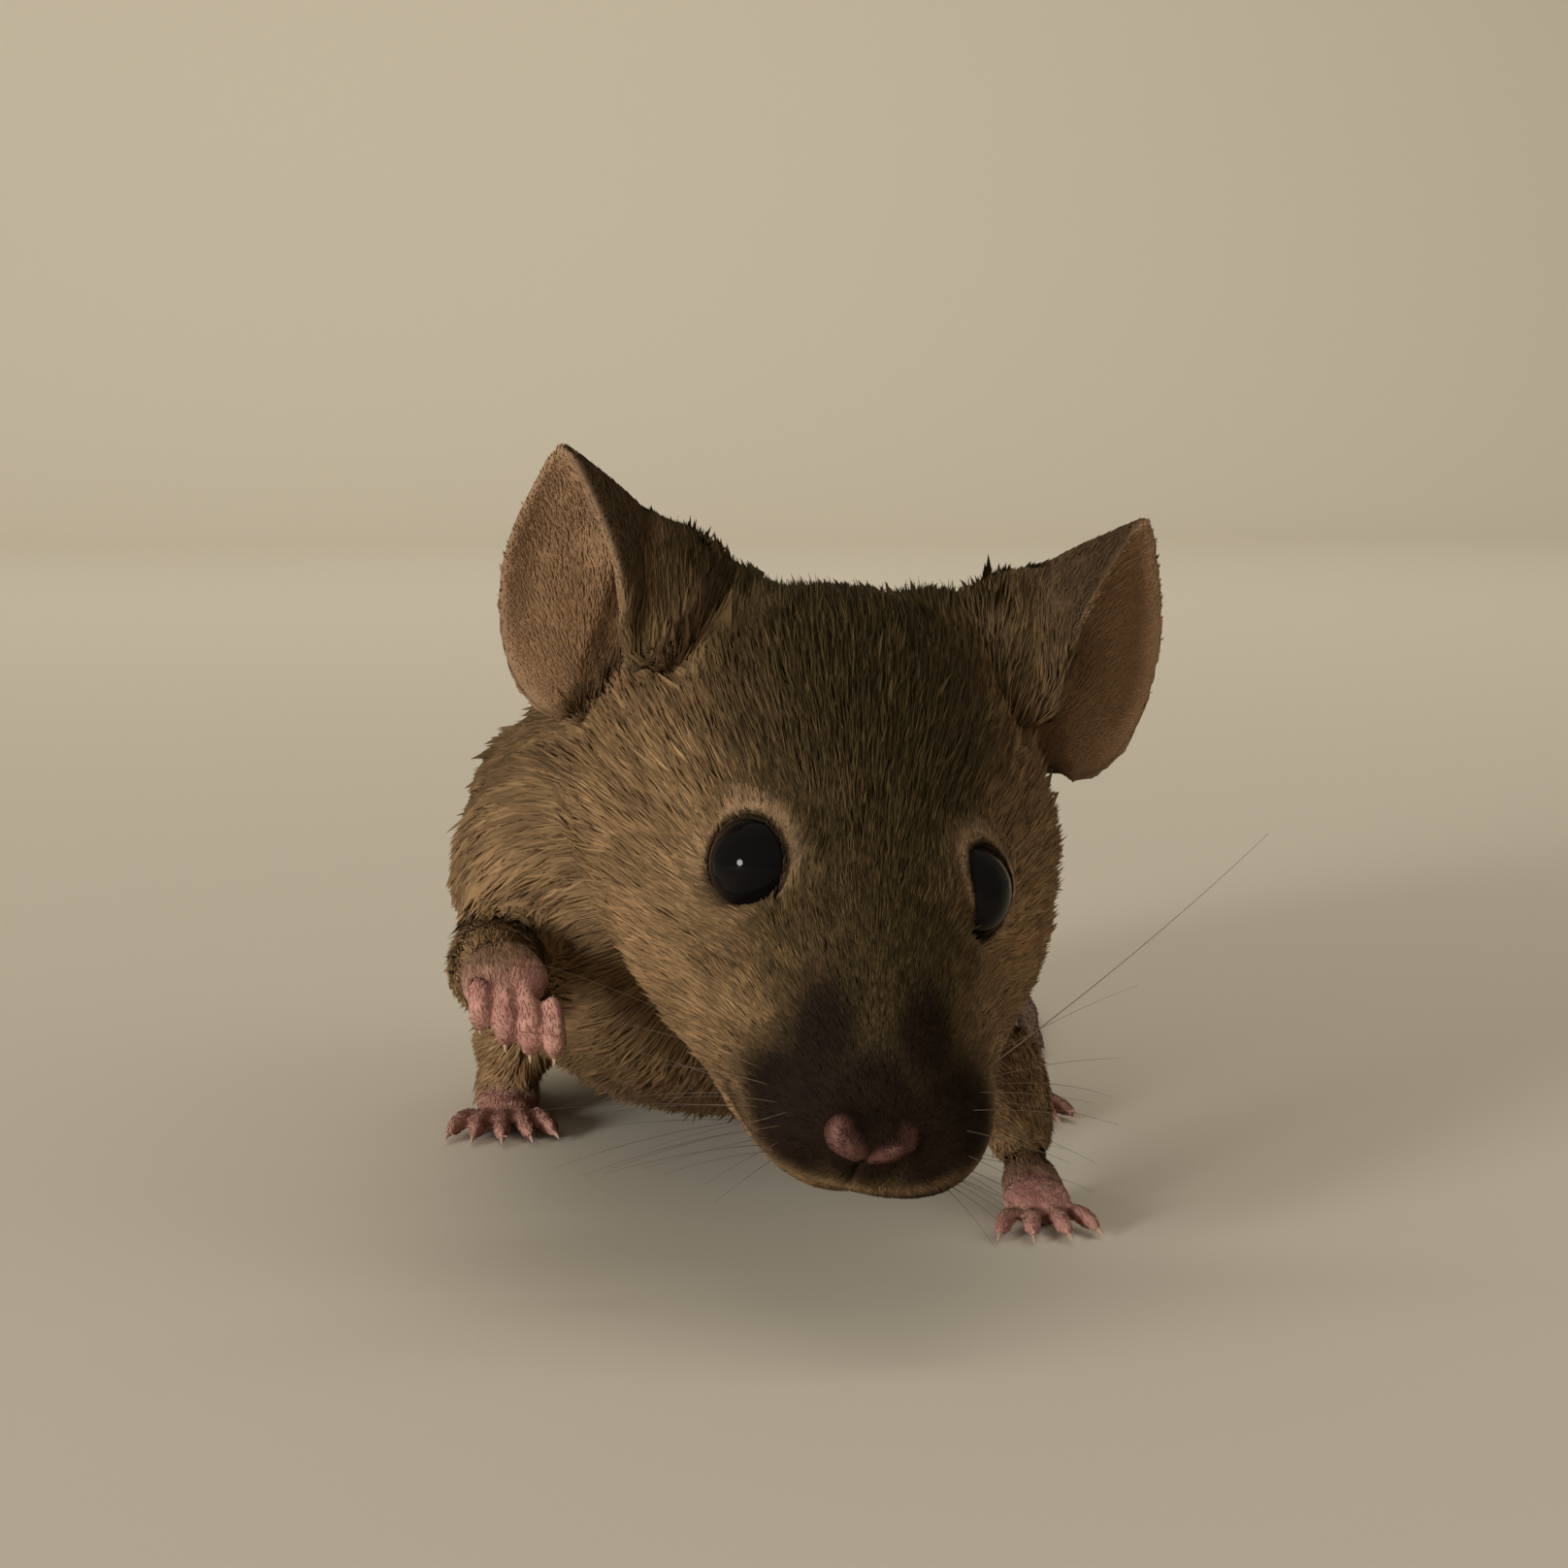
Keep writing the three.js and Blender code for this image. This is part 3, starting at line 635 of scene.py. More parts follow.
    def draw_in(self, joined: Surface) -> Surface:
        """Smooths the surface and moves it in by the coat's depth.

        Args:
            joined: The solids as one surface.

        Returns:
            The same surface where the skin is.
        """
        links = Neighbours(len(joined.points), joined.edges)
        owner = self.owners(joined.points)
        ease = np.array([REGIONS[r].ease for r in REGION_NAMES])[owner]
        inward = np.array([REGIONS[r].grown for r in REGION_NAMES])[owner]
        local = self.head.local(joined.points)
        near_eye = 1.0 - smooth(2.4, 3.5, self.eye_distance(local))
        ease = ease * (1.0 - 0.93 * near_eye)
        ears = [NODES.index(f"ear_{name}") for name in SIDES]
        beside = links.spread(np.isin(owner, ears).astype(float), 30)
        ease = np.maximum(links.spread(ease, 8), 3.6 * beside * (1.0 - beside))[:, None]
        inward = inward * (1.0 - near_eye)
        inward = inward + self.coat_depth(joined.points, owner)
        inward = links.spread(inward, 14)
        points = joined.points
        for _ in range(self.easing):
            points = points + ease * (links.mean(points) - points)
        thin = links.spread(np.isin(owner, ears).astype(float), 2)[:, None]
        for step in (0.6, -0.63) * self.rim_rounds:
            points = points + step * thin * (links.mean(points) - points)
        drawn = Surface(points, joined.faces, joined.edges)
        normal = unit(links.spread(drawn.normals(), 6))
        drawn.points = above_floor(points - inward[:, None] * normal)
        return drawn

    def coat_depth(self, points: Array, owner: Array) -> Array:
        """The depth of coat over each point."""
        depth = np.array([REGIONS[r].depth for r in REGION_NAMES])[owner]
        local = self.head.local(points)
        is_head = np.isin(owner, [NODES.index(name) for name in HEAD_REGIONS])
        crown = smooth(-9.0, 9.0, local[:, 1])
        depth = np.where(is_head, lerp(0.06, 0.8, crown), depth)
        return depth * smooth(2.25, 3.3, self.eye_distance(local))

    def thin_out(self, drawn: Surface) -> Surface:
        """Fewer triangles where the coat covers the skin."""
        owner = self.owners(drawn.points)
        plain = np.array([REGIONS[r].ease for r in REGION_NAMES])[owner]
        local = self.head.local(drawn.points)
        fine = np.maximum(
            1.0 - smooth(3.0, 4.5, self.eye_distance(local)), blob(local, NOSE_TIP, 4.0)
        )
        weights = np.clip(plain - fine, 0.0, 1.0)
        return drawn.through(
            "DECIMATE",
            {"plain": weights},
            ratio=self.facets / len(drawn.faces),
            vertex_group="plain",
            vertex_group_factor=6.0,
        )

    def carve(self, kept: Surface) -> Surface:
        """Nostrils, the groove under the nose, the mouth, whisker pads and snug lids."""
        kept = self.refine(kept, lambda local: np.linalg.norm(local - NOSE_TIP, axis=1) < 3.4)
        kept = self.refine(kept, lambda local: np.linalg.norm(local - NOSE_TIP, axis=1) < 2.1)
        for _ in range(2):
            kept = self.refine(kept, self.by_lid_edge)
        links = Neighbours(len(kept.points), kept.edges)
        local = self.head.local(kept.points)
        normal = unit(links.spread(kept.normals(), 2)) @ self.head.turn
        for side in SIDES.values():
            pad = blob(local, (side * 2.9, -8.2, -5.6), (1.9, 2.2, 2.0))
            local = local + 0.3 * pad[:, None] * normal
        for side in SIDES.values():
            wing = capsule(local, *self.nose_wing(side))
            local = local + 0.14 * np.exp(-((wing / 0.42) ** 2))[:, None] * normal
            slit = capsule(
                local, (side * 0.9 - 0.2, -11.2, -5.25), (side * 1.45 - 0.2, -10.8, -4.95)
            )
            local = local - 0.5 * np.exp(-((slit / 0.17) ** 2))[:, None] * normal
        groove = blob(local, (-0.2, -10.9, -6.2), (0.17, 1.6, 1.0))
        local = local - 0.34 * groove[:, None] * normal
        owner = self.owners(kept.points)
        jaw = links.spread((owner == NODES.index("lower_jaw")).astype(float), 6)
        front = 1.0 - smooth(-4.0, 1.0, local[:, 1])
        lip = np.exp(-(((jaw - 0.5) / 0.3) ** 2)) * front
        local = local - 0.28 * lip[:, None] * normal
        for side in SIDES.values():
            centre = self.head.eye_centre(side)
            away = local - centre
            gap = np.linalg.norm(away, axis=1, keepdims=True)
            outside = self.head.opening(side, away / gap)[:, None]
            ball = BALL_RADIUS[side]
            least = lerp(0.9 * ball, 1.035 * ball + 0.02, smooth(-2.0, 1.5, outside))
            held = np.minimum(gap, lerp(least, gap, smooth(1.5, 22.0, outside)))
            near = 1.0 - smooth(3.0, 4.2, gap)
            local = centre + away / gap * np.maximum(least, lerp(gap, held, near))
        return Surface(self.head.row(local), kept.faces, kept.edges)

    def by_lid_edge(self, local: Array) -> Array:
        """Which points in head coordinates are close to the edge of a lid."""
        found = np.zeros(len(local), bool)
        for side in SIDES.values():
            away = local - self.head.eye_centre(side)
            gap = np.linalg.norm(away, axis=1)
            found |= (np.abs(self.head.opening(side, away / gap[:, None])) < 9) & (gap < 2.7)
        return found

    @staticmethod
    def nose_wing(side: float) -> tuple[Triple, Triple]:
        """The ends of one arm of the nose pad, a V that opens upwards, in head coordinates."""
        low = (side * 0.4 + NOSE_TIP[0], -11.0, -5.2)
        high = (side * 1.25 + NOSE_TIP[0], -10.5, -4.3 - 0.1 * side)
        return low, high

    def refine(self, surface: Surface, chosen: Callable[[Array], Array]) -> Surface:
        """Cuts each edge in two where a test on head coordinates holds.

        Args:
            surface: The surface.
            chosen: Tells which points of it are taken.

        Returns:
            The finer surface, with its edges.
        """
        mesh = surface.to_mesh("workpiece", 1.0)
        mask = chosen(self.head.local(surface.points))
        work = bmesh.new()
        work.from_mesh(mesh)
        work.verts.ensure_lookup_table()
        edges = [e for e in work.edges if mask[e.verts[0].index] and mask[e.verts[1].index]]
        bmesh.ops.subdivide_edges(work, edges=edges, cuts=1, use_grid_fill=True, smooth=0.6)
        bmesh.ops.triangulate(work, faces=[f for f in work.faces if len(f.verts) > 3])
        work.to_mesh(mesh)
        work.free()
        finer = Surface.of_mesh(mesh)
        bpy.data.meshes.remove(mesh)
        return finer

    # -- what the skin carries

    def read_traits(self) -> None:
        """Works out length, width, depth and density of the coat at every point."""
        points = self.surface.points
        self.normal = self.surface.normals()
        self.links = Neighbours(len(points), self.surface.edges)
        self.node = self.owners(points)
        self.local = self.head.local(points)
        table = {
            name: np.array([getattr(REGIONS[r], name) for r in REGION_NAMES])[self.node]
            for name in ("length", "width", "layers", "clump")
        }
        ruff = [blob(self.local, (s * 9.8, 7.5, -2.0), (3.0, 4.0, 4.0)) for s in SIDES.values()]
        table["depth"] = self.coat_depth(points, self.node) * (1.0 + 0.6 * np.maximum(*ruff))
        region = np.array(REGION_NAMES)[self.node]
        is_head = np.isin(region, HEAD_REGIONS)
        back = smooth(-11.0, 9.0, self.local[:, 1])
        table["length"] = np.where(is_head, lerp(0.5, 2.1, back), table["length"])
        table["width"] = np.where(is_head, lerp(0.05, 0.074, back), table["width"])
        table["layers"] = np.where(is_head, lerp(5.0, 7.0, back), table["layers"])
        table["clump"] = np.where(is_head, lerp(0.05, 0.14, back), table["clump"])
        paws = np.isin(region, ("forepaw", "hind_foot"))
        joints = self.head.ground(WRISTS)
        from_joint = np.linalg.norm(points - joints[Nearest(joints)(points)], axis=1)
        self.furry = np.where(paws, 1.0 - smooth(1.3, 2.8, from_joint), 1.0)
        table["layers"] = np.where(paws, lerp(table["layers"], 4.5, self.furry), table["layers"])
        table["length"] = np.where(paws, lerp(table["length"], 1.0, self.furry), table["length"])
        table["width"] = np.where(paws, lerp(table["width"], 0.055, self.furry), table["width"])
        fringe = [blob(self.local, (s * 5.2, -3.8, -4.8), (1.8, 2.8, 1.6)) for s in SIDES.values()]
        table["length"] = table["length"] * (1.0 + 0.8 * np.maximum(*fringe))
        table["depth"] = table["depth"] + 0.25 * np.maximum(*fringe)
        is_ear = region == "ear"
        beside = self.links.spread(is_ear.astype(float), 16)
        base = 4.0 * beside * (1.0 - beside)
        crest = smooth(4.0, 8.0, self.local[:, 2])
        own = np.where(is_ear, lerp(1.6, 0.9, crest), lerp(2.3, 1.3, crest))
        table["length"] = lerp(table["length"], own, 0.8 * base)
        table["layers"] = lerp(table["layers"], 6.0, 0.8 * base)
        table["depth"] = table["depth"] + np.where(is_head, 0.2 * base, 0.0)
        table = {name: self.links.spread(values, 6) for name, values in table.items()}
        self.margin = self.lid_margin(self.local)
        rim = 1.0 - smooth(6.0, 30.0, self.margin)
        table["length"] *= 1.0 - 0.68 * rim
        table["width"] *= 1.0 - 0.35 * rim
        inside = smooth(0.3, 2.0, self.margin)
        wing = np.minimum(*(capsule(self.local, *self.nose_wing(side)) for side in SIDES.values()))
        table["length"] *= lerp(0.4, 1.0, smooth(0.5, 1.5, wing))
        self.leather = np.where(is_head, 1.0 - smooth(0.26, 0.66, wing), 0.0)
        table["layers"] *= inside * (1.0 - 0.95 * self.leather)
        self.traits = table

    def lay_flow(self) -> None:
        """The lie of the coat, as a unit vector along the skin at every point."""
        guide = np.array([REGIONS[r].flow for r in REGION_NAMES])[self.node]
        guide = guide * np.stack([NODE_SIDE[self.node], *np.ones((2, len(guide)))], axis=1)
        points, local = self.surface.points, self.local
        torso = np.isin(
            self.node, [NODES.index(n) for n in ("neck", "chest", "belly", "lower_jaw")]
        )
        guide[torso, 0] = REGIONS["neck"].flow[0] * np.sign(points[torso, 0] - self.head.origin[0])
        is_head = self.node == NODES.index("head")
        away = unit(local - NOSE_TIP) + (0.0, 0.35, 0.0)
        cheek = smooth(3.0, 8.0, np.abs(local[:, 0])) * (1.0 - smooth(-2.0, 3.0, local[:, 2]))
        away[:, 2] -= 0.35 * cheek
        for side in SIDES.values():
            gap = local - self.head.eye_centre(side)
            near = 1.0 - smooth(2.2, 3.6, np.linalg.norm(gap, axis=1))
            away += 1.1 * near[:, None] * unit(gap)
        guide[is_head] = (away @ self.head.turn.T)[is_head]
        self.ear_marks = np.zeros((len(points), 3))
        self.climb = np.zeros(len(points))
        for side_name, side in SIDES.items():
            is_ear = self.node == NODES.index(f"ear_{side_name}")
            leaf = local[is_ear]
            facing = self.normal[is_ear] @ self.head.turn
            tones, out = self.ear_tones(side, leaf, facing)
            self.ear_marks[is_ear] = tones
            across = np.abs(leaf[:, 0])
            above = leaf[:, 2] - 5.8 - 0.74 * (9.8 - across)
            own = np.maximum.reduce(
                [tones[:, 0], smooth(-1.6, 1.2, above), smooth(9.6, 10.8, across)]
            )
            along = lerp(away[is_ear], unit(leaf - (side * 8.6, 10.4, -1.0)), own[:, None])
            guide[is_ear] = along @ self.head.turn.T
            self.climb[is_ear] = 1.0 - own
            for name, value in {"length": 1.6, "width": 0.065, "layers": 6.0, "depth": 0.3}.items():
                self.traits[name][is_ear] = lerp(value, self.traits[name][is_ear], own)
            rim = own * smooth(0.87, 0.96, out + 0.07 * (1.0 - tones[:, 0]))
            self.traits["layers"][is_ear] *= 1.0 - rim
            self.traits["length"][is_ear] *= lerp(1.0, 0.4, own * smooth(0.65, 0.88, out))
        spine = self.head.ground(tail_spine())
        is_tail = np.array([r == "tail" for r in REGION_NAMES])[self.node]
        index = Nearest(spine)(points[is_tail])
        guide[is_tail] = unit(np.gradient(spine, axis=0))[index]
        length = np.concatenate([[0.0], np.cumsum(np.linalg.norm(np.diff(spine, axis=0), axis=1))])
        self.along_tail = np.zeros(len(points))
        past = dot(points[is_tail] - spine[index], guide[is_tail])[:, 0]
        self.along_tail[is_tail] = length[index] + past
        flow = unit(guide)
        for _ in range(14):
            flow = self.links.mean(flow)
            flow = unit(flow - dot(flow, self.normal) * self.normal)
        self.flow = flow

    @staticmethod
    def ear_tones(side: float, local: Array, facing: Array) -> tuple[Array, Array]:
        """The markings of an ear.

        Args:
            side: The ear's side.
            local: Points of it, in head coordinates.
            facing: The normals there.

        Returns:
            Whether points are on its hollow face, how near the painted shade low in its middle and
            how near its pale streak, as three columns, and how far out on its leaf they are.
        """
        hollow, around, out, _ = EarLeaf(side).read(local)
        by_crease = 1.0 - smooth(0.35, 0.7, out)
        hollow = hollow * (1.0 - by_crease * smooth(0.25, 0.55, facing[:, 2]))
        hollow = np.maximum(hollow, 0.8 * smooth(0.93, 0.98, out))
        # A browner, darker patch low in the middle of the hollow: painted shade.
        deep = blob(np.stack([around, out], axis=1), (0.6, 0.5), (0.16, 0.42))
        line = capsule(local, (side * 10.6, 12.4, 8.2), (side * 8.8, 11.2, 2.0))
        streak = np.exp(-((line / 0.9) ** 2))
        return np.stack([hollow, deep, streak], axis=1), out

    def mark(self) -> None:
        """The markings that skin and coat share, each from 0 to 1 at every point; the dark one
        holds painted shade on the muzzle, a painted shadow under the lip and painted shade on the
        breast.
        """
        x, y, z = self.local.T
        side = np.abs(x)
        region = np.array(REGION_NAMES)[self.node]
        is_head = np.isin(region, HEAD_REGIONS) | (self.climb > 0.0)
        height = self.surface.points[:, 2]
        cheek = smooth(1.6, 9.0, side - 0.6 * (z - 0.2) + 0.12 * y)
        behind = smooth(3.0, 10.0, y)
        tan = np.where(is_head, np.clip(cheek * (1.0 - 0.25 * behind), 0.0, 1.0), 0.0)
        tan = tan * (1.0 - 0.7 * self.climb)
        flank = 1.0 - smooth(9.0, 23.0, height)
        tan = np.where(np.isin(region, ("neck", "chest", "belly", "thigh")), 0.9 * flank, tan)
        tan = np.where(region == "foreleg_upper", 0.8, tan)
        tan = np.where(np.isin(region, ("foreleg_lower", "shank")), 1.0, tan)
        tan = np.where(np.isin(region, ("forepaw", "hind_foot")), 0.35, tan)
        # The dark over the whisker pads, beside the nose bridge and round the nose is dark fur with
        # painted shade in it.
        muzzle = [blob(self.local, (s * 2.9, -9.0, -5.0), (2.5, 3.0, 2.7)) for s in SIDES.values()]
        muzzle += [
            0.85 * blob(self.local, (s * 1.7, -7.4, -2.6), (1.3, 2.4, 2.2)) for s in SIDES.values()
        ]
        muzzle.append(blob(self.local, (-0.1, -9.9, -4.4), (1.9, 2.6, 2.4)))
        dark = np.where(is_head, smooth(0.12, 0.62, np.maximum.reduce(muzzle)), 0.0)
        dark = np.maximum(dark, 1.0 - smooth(1.0, 3.0, self.margin))
        ring = np.exp(-(((self.margin - 8.0) / 4.5) ** 2))
        from_lip, below = self.lip_gap()
        lip = np.exp(-((from_lip / 0.38) ** 2))
        # A painted shadow of the mouth, in a band just below the pale edge of the upper lip; it
        # goes into the dark marking.
        mouth = smooth(0.3, 0.55, below) * (1.0 - smooth(0.9, 1.5, from_lip))
        lip_share = lerp(0.5, 0.3, smooth(-1.0, 3.0, x))
        pale = np.where(is_head, np.maximum(0.8 * ring, lip_share * lip), 0.0)
        under = (1.0 - smooth(2.5, 8.0, height)) * np.isin(region, ("chest", "belly", "thigh"))
        pale = np.maximum(pale, 0.55 * under)
        dark = np.clip(dark * (1.0 - 0.7 * lip) + 0.8 * mouth, 0.0, 1.0)
        # Painted shade on neck and chest, strongest on the right of the breast below the lifted
        # paw; there it is the whole dark marking.
        from_breast = self.surface.points - self.head.ground((-6.0, 12.0, 8.0))
        breast_shade = blob(from_breast, (0.0, 0.0, 0.0), (9.0, 9.0, 6.0))
        dark = np.where(np.isin(region, ("neck", "chest")), 0.45 * breast_shade, dark)
        paws = np.isin(region, ("forepaw", "hind_foot"))
        bare = np.maximum(self.leather, np.where(paws, 1.0 - 0.8 * self.furry, 0.0))
        values = {
            "tan": tan, "dark": dark, "pale": pale, "bare": bare,
            "ear": np.where(region == "ear", 1.0 - self.climb, 0.0),
            "tail": (region == "tail").astype(float),
            "hollow": self.ear_marks[:, 0],
            "deep": self.ear_marks[:, 1],
            "streak": self.ear_marks[:, 2],
        }
        blur = {"tan": 22, "deep": 6, "streak": 6, "hollow": 1, "ear": 10}
        self.marks = {name: self.links.spread(v, blur.get(name, 3)) for name, v in values.items()}

    def lip_gap(self) -> tuple[Array, Array]:
        """How far each point is from the pale edge of the upper lip, and how far below it."""
        knots = [
            (-4.6, -7.0, -5.2), (-3.84, -7.73, -5.99), (-2.67, -8.55, -7.06), (-1.17, -9.27, -7.19),
            (0.5, -9.87, -6.98), (1.9, -10.1, -6.5), (3.2, -9.9, -6.1), (4.4, -8.9, -5.8),
            (5.0, -8.0, -5.3),
        ]
        course = spline(knots, np.linspace(0.0, 1.0, 80))
        edge = self.local[Nearest(self.local)(course)]
        away = self.local - edge[Nearest(edge)(self.local)]
        return np.linalg.norm(away, axis=1), -away[:, 2]

    def dress(self, finish: "FurFinish") -> bpy.types.Object:
        """The skin as an object in place of the nodes of flesh."""
        mesh = self.surface.to_mesh("skin")
        for name, parts in MARKS.items():
            put_attribute(mesh, name, np.stack([self.marks[part] for part in parts], axis=1))
        put_attribute(mesh, "along_tail", self.along_tail)
        return add_piece("skin", mesh, finish.skin(), NODES)


# ---------------------------------------------------------------- objects

MARKS = {  # the attributes that carry the markings, three to each
    "coat_marks": ("tan", "dark", "pale"),
    "skin_marks": ("bare", "ear", "tail"),
    "ear_marks": ("hollow", "deep", "streak"),
}


def put_attribute(mesh: bpy.types.Mesh, name: str, values: Array) -> None:
    """Stores a number or a vector at every point of a mesh."""
    kind, key = ("FLOAT", "value") if values.ndim == 1 else ("FLOAT_VECTOR", "vector")
    attribute = mesh.attributes.new(name, kind, "POINT")
    attribute.data.foreach_set(key, values.astype(np.float32).ravel())


def add_piece(
    name: str,
    mesh: bpy.types.Mesh,
    finish: bpy.types.Material,
    nodes: Sequence[str] = (),
) -> bpy.types.Object:
    """Adds a mesh as one piece of the mouse.

    Args:
        name: The piece's name.
        mesh: Its mesh, in the row frame.
        finish: Its material.
        nodes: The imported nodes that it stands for.

    Returns:
        The object.
    """
    obj = bpy.data.objects.new(name, mesh)
    bpy.context.scene.collection.objects.link(obj)
    mesh.materials.append(finish)
    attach(obj, "root")
    if nodes:
        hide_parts(*nodes)
    log.info("%s: %d triangles", name, len(mesh.polygons))
    return obj


# ---------------------------------------------------------------- coat


class Unroll(Enum):
    """How a coat piece's roots are laid out on its map."""

    ROUND = "round an axis"
    FLAT = "on two faces of a leaf"


@dataclass(frozen=True)
class Strip:
    """One strip of a coat piece's map: the skin of some nodes, unrolled round an axis."""

    nodes: tuple[str, ...]
    start: Triple
    end: Triple
    zero: Triple  # the side where the unrolling starts
    kind: Unroll = Unroll.ROUND


@dataclass
class Coat:
    """The fur: closed slivers of four faces that lie along the skin, in several pieces."""

    skin: Skin
    most: int = 48_000  # tufts in one piece
    hollow: Array = field(init=False)  # how far each root is on the hollow face of an ear

    def roots(self, rng: np.random.Generator) -> tuple[Array, Array]:
        """Scatters roots over the skin by how many tufts each place holds.

        Args:
            rng: The source of chance.

        Returns:
            The face of each root and its three weights.
        """
        skin = self.skin
        traits = skin.traits
        density = traits["layers"] / (TUFT_COVER * traits["length"] * traits["width"])
        wanted = skin.surface.areas() * density[skin.surface.faces].mean(axis=1)
        total = np.cumsum(wanted)
        count = int(total[-1])
        place = (np.arange(count) + rng.random(count)) / count * total[-1]
        face = np.minimum(np.searchsorted(total, place), len(wanted) - 1)
        return face, rng.dirichlet((1, 1, 1), count)

    def build(self, finish: "FurFinish") -> list[bpy.types.Object]:
        """Grows all tufts and shares them out among the coat pieces."""
        skin, rng = self.skin, np.random.default_rng(SEED + 1)
        face, weights = self.roots(rng)
        corners = skin.surface.faces[face]
        nearest = corners[np.arange(len(face)), weights.argmax(axis=1)]

        def at(values: Array) -> Array:
            """Values of the skin at the roots."""
            w = weights[:, :, None] if values.ndim > 1 else weights
            return (values[corners] * w).sum(axis=1)

        root, normal = at(skin.surface.points), unit(at(skin.normal))
        flow = unit(at(skin.flow) - dot(at(skin.flow), normal) * normal)
        traits = {name: at(values) for name, values in skin.traits.items()}
        count = len(root)
        log.info("coat: %d tufts", count)
        guard = rng.random(count) < 0.05
        seeds = rng.choice(count, count // 14, replace=False)
        seed = seeds[Nearest(root[seeds])(root)]
        patches = rng.choice(count, count // 160, replace=False)
        patch = patches[Nearest(root[patches])(root)]
        turn = (rng.normal(0.0, 0.15, count) + rng.normal(0.0, 0.16, count)[seed])[:, None]
        flow = unit(flow * np.cos(turn) + np.cross(normal, flow) * np.sin(turn))
        length = traits["length"] * rng.uniform(0.7, 1.2, count) * np.where(guard, 1.3, 1.0)
        height = traits["depth"] * rng.uniform(0.5, 1.0, count)
        height = height * rng.uniform(0.75, 1.1, count)[seed]
        height = height * np.where(guard, 1.35, 1.0) + 0.03 + 0.03 * length
        width = traits["width"] * rng.uniform(0.75, 1.2, count) * np.where(guard, 0.55, 1.0)
        middle, middle_normal, at_middle = self.over_skin(root + flow * (0.46 * length)[:, None])
        onward = unit(skin.flow[at_middle] * 0.6 + flow * 0.4)
        tip, tip_normal, _ = self.over_skin(middle + onward * (0.54 * length)[:, None])
        middle = middle + middle_normal * (0.62 * height)[:, None]
        tip = tip + tip_normal * height[:, None]
        draw = (root[seed] - root) * traits["clump"][:, None]
        draw = draw * np.exp(-np.sum(draw * draw, axis=1, keepdims=True) / 0.25)
        middle, tip = middle + 0.45 * draw, tip + draw
        path = above_floor(np.stack([root - 0.08 * normal, middle, tip], axis=1), 0.03)
        shade = 0.4 * rng.normal(0, 1, count) + 0.55 * rng.normal(0, 1, count)[seed]
        shade += 0.3 * rng.normal(0, 1, count)[patch]
        fleck = (rng.random(count) < 0.36).astype(float) * rng.uniform(0.5, 1.0, count)
        self.hollow = at(skin.marks["hollow"])
        pieces = []
        strips = self.layout()
        owner = skin.node[nearest]
        for name, (slot, parts) in strips.items():
            chosen, uv = self.lay_out(parts, root, owner)
            angle = uv[:, 0] * 7 + uv[:, 1]
            groups = max(1, math.ceil(len(chosen) / self.most))
            order = np.argsort(angle if groups > 1 else chosen, kind="stable")
            for k, share in enumerate(np.array_split(order, groups)):
                pick = chosen[share]
                label = name if groups == 1 else f"{name}_{k + 1}"
                mesh = self.slivers(label, path[pick], middle_normal[pick], width[pick], uv[share])
                self.store(mesh, corners[pick], weights[pick], shade[pick], fleck[pick])
                pieces.append(add_piece(label, mesh, finish.coat()))
        return pieces

    def over_skin(self, points: Array) -> tuple[Array, Array, Array]:
        """Points brought down to the skin.

        Args:
            points: Points near the skin.

        Returns:
            Their places on it, the normals there, and the nearest of its points.
        """
        if not hasattr(self, "search"):
            self.search = Nearest(self.skin.surface.points)
        index = self.search(points)
        base, normal = self.skin.surface.points[index], self.skin.normal[index]
        return points - dot(points - base, normal) * normal, normal, index

    def slivers(self, name: str, path: Array, up: Array, width: Array, uv: Array) -> bpy.types.Mesh:
        """Tufts as closed slivers: a buried root, a raised pair of shoulders and a fine tip.

        Args:
            name: The mesh's name.
            path: Each tuft's root, middle and tip.
            up: The way away from the skin.
            width: Of each tuft at its middle.
            uv: Where each root lies on the piece's map.

        Returns:
            The mesh, with its map and with normals that lean the way the skin faces.
        """
        count = len(path)
        root, middle, tip = path[:, 0], path[:, 1], path[:, 2]
        ahead = unit(tip - root)
        side = unit(np.cross(ahead, up))
        ridge = unit(np.cross(side, ahead))
        half = 0.5 * width[:, None]
        raised = dot(middle - root, ridge)
        middle = middle + np.maximum(0.6 * half - raised, 0.0) * ridge
        points = np.stack([root, middle - half * side, middle + half * side, tip], axis=1)
        shape = np.array([(0, 2, 1), (3, 1, 2), (0, 3, 2), (0, 1, 3)])
        faces = (np.arange(count) * 4)[:, None, None] + shape
        mesh = Surface(points.reshape(-1, 3), faces.reshape(-1, 3)).to_mesh(name)
        lean = 0.55 * up + 0.45 * ridge
        soft = np.stack([lean, lean - 0.45 * side, lean + 0.45 * side, lean + 0.3 * ahead], axis=1)
        mesh.normals_split_custom_set_from_vertices(unit(soft).reshape(-1, 3).tolist())
        offsets = 0.5 * PATCH * np.array([(0, -1), (-1, 0), (1, 0), (0, 1)])
        corners = (uv[:, None] + offsets).reshape(-1, 2)
        layer = mesh.uv_layers.new(name=MAP_NAME)
        layer.uv.foreach_set("vector", corners[faces.reshape(-1)].astype(np.float32).ravel())
        return mesh

    def store(
        self, mesh: bpy.types.Mesh, corners: Array, weights: Array, shade: Array, fleck: Array
    ) -> None:
        """Gives every tuft its markings, its shade and its place along its length."""
        marks = self.skin.marks
        for name, parts in MARKS.items():
            values = np.stack(
                [(marks[part][corners] * weights).sum(axis=1) for part in parts], axis=1
            )
            if name == "coat_marks":
                values = np.clip(values + 0.5 * shade[:, None] * values * (1.0 - values), 0.0, 1.0)
            put_attribute(mesh, name, np.repeat(values, 4, axis=0))
        along = np.tile([0.0, 0.5, 0.5, 1.0], len(shade))
        tuft = np.stack([along, np.repeat(shade, 4), np.repeat(fleck, 4)], axis=1)
        put_attribute(mesh, "tuft", tuft)

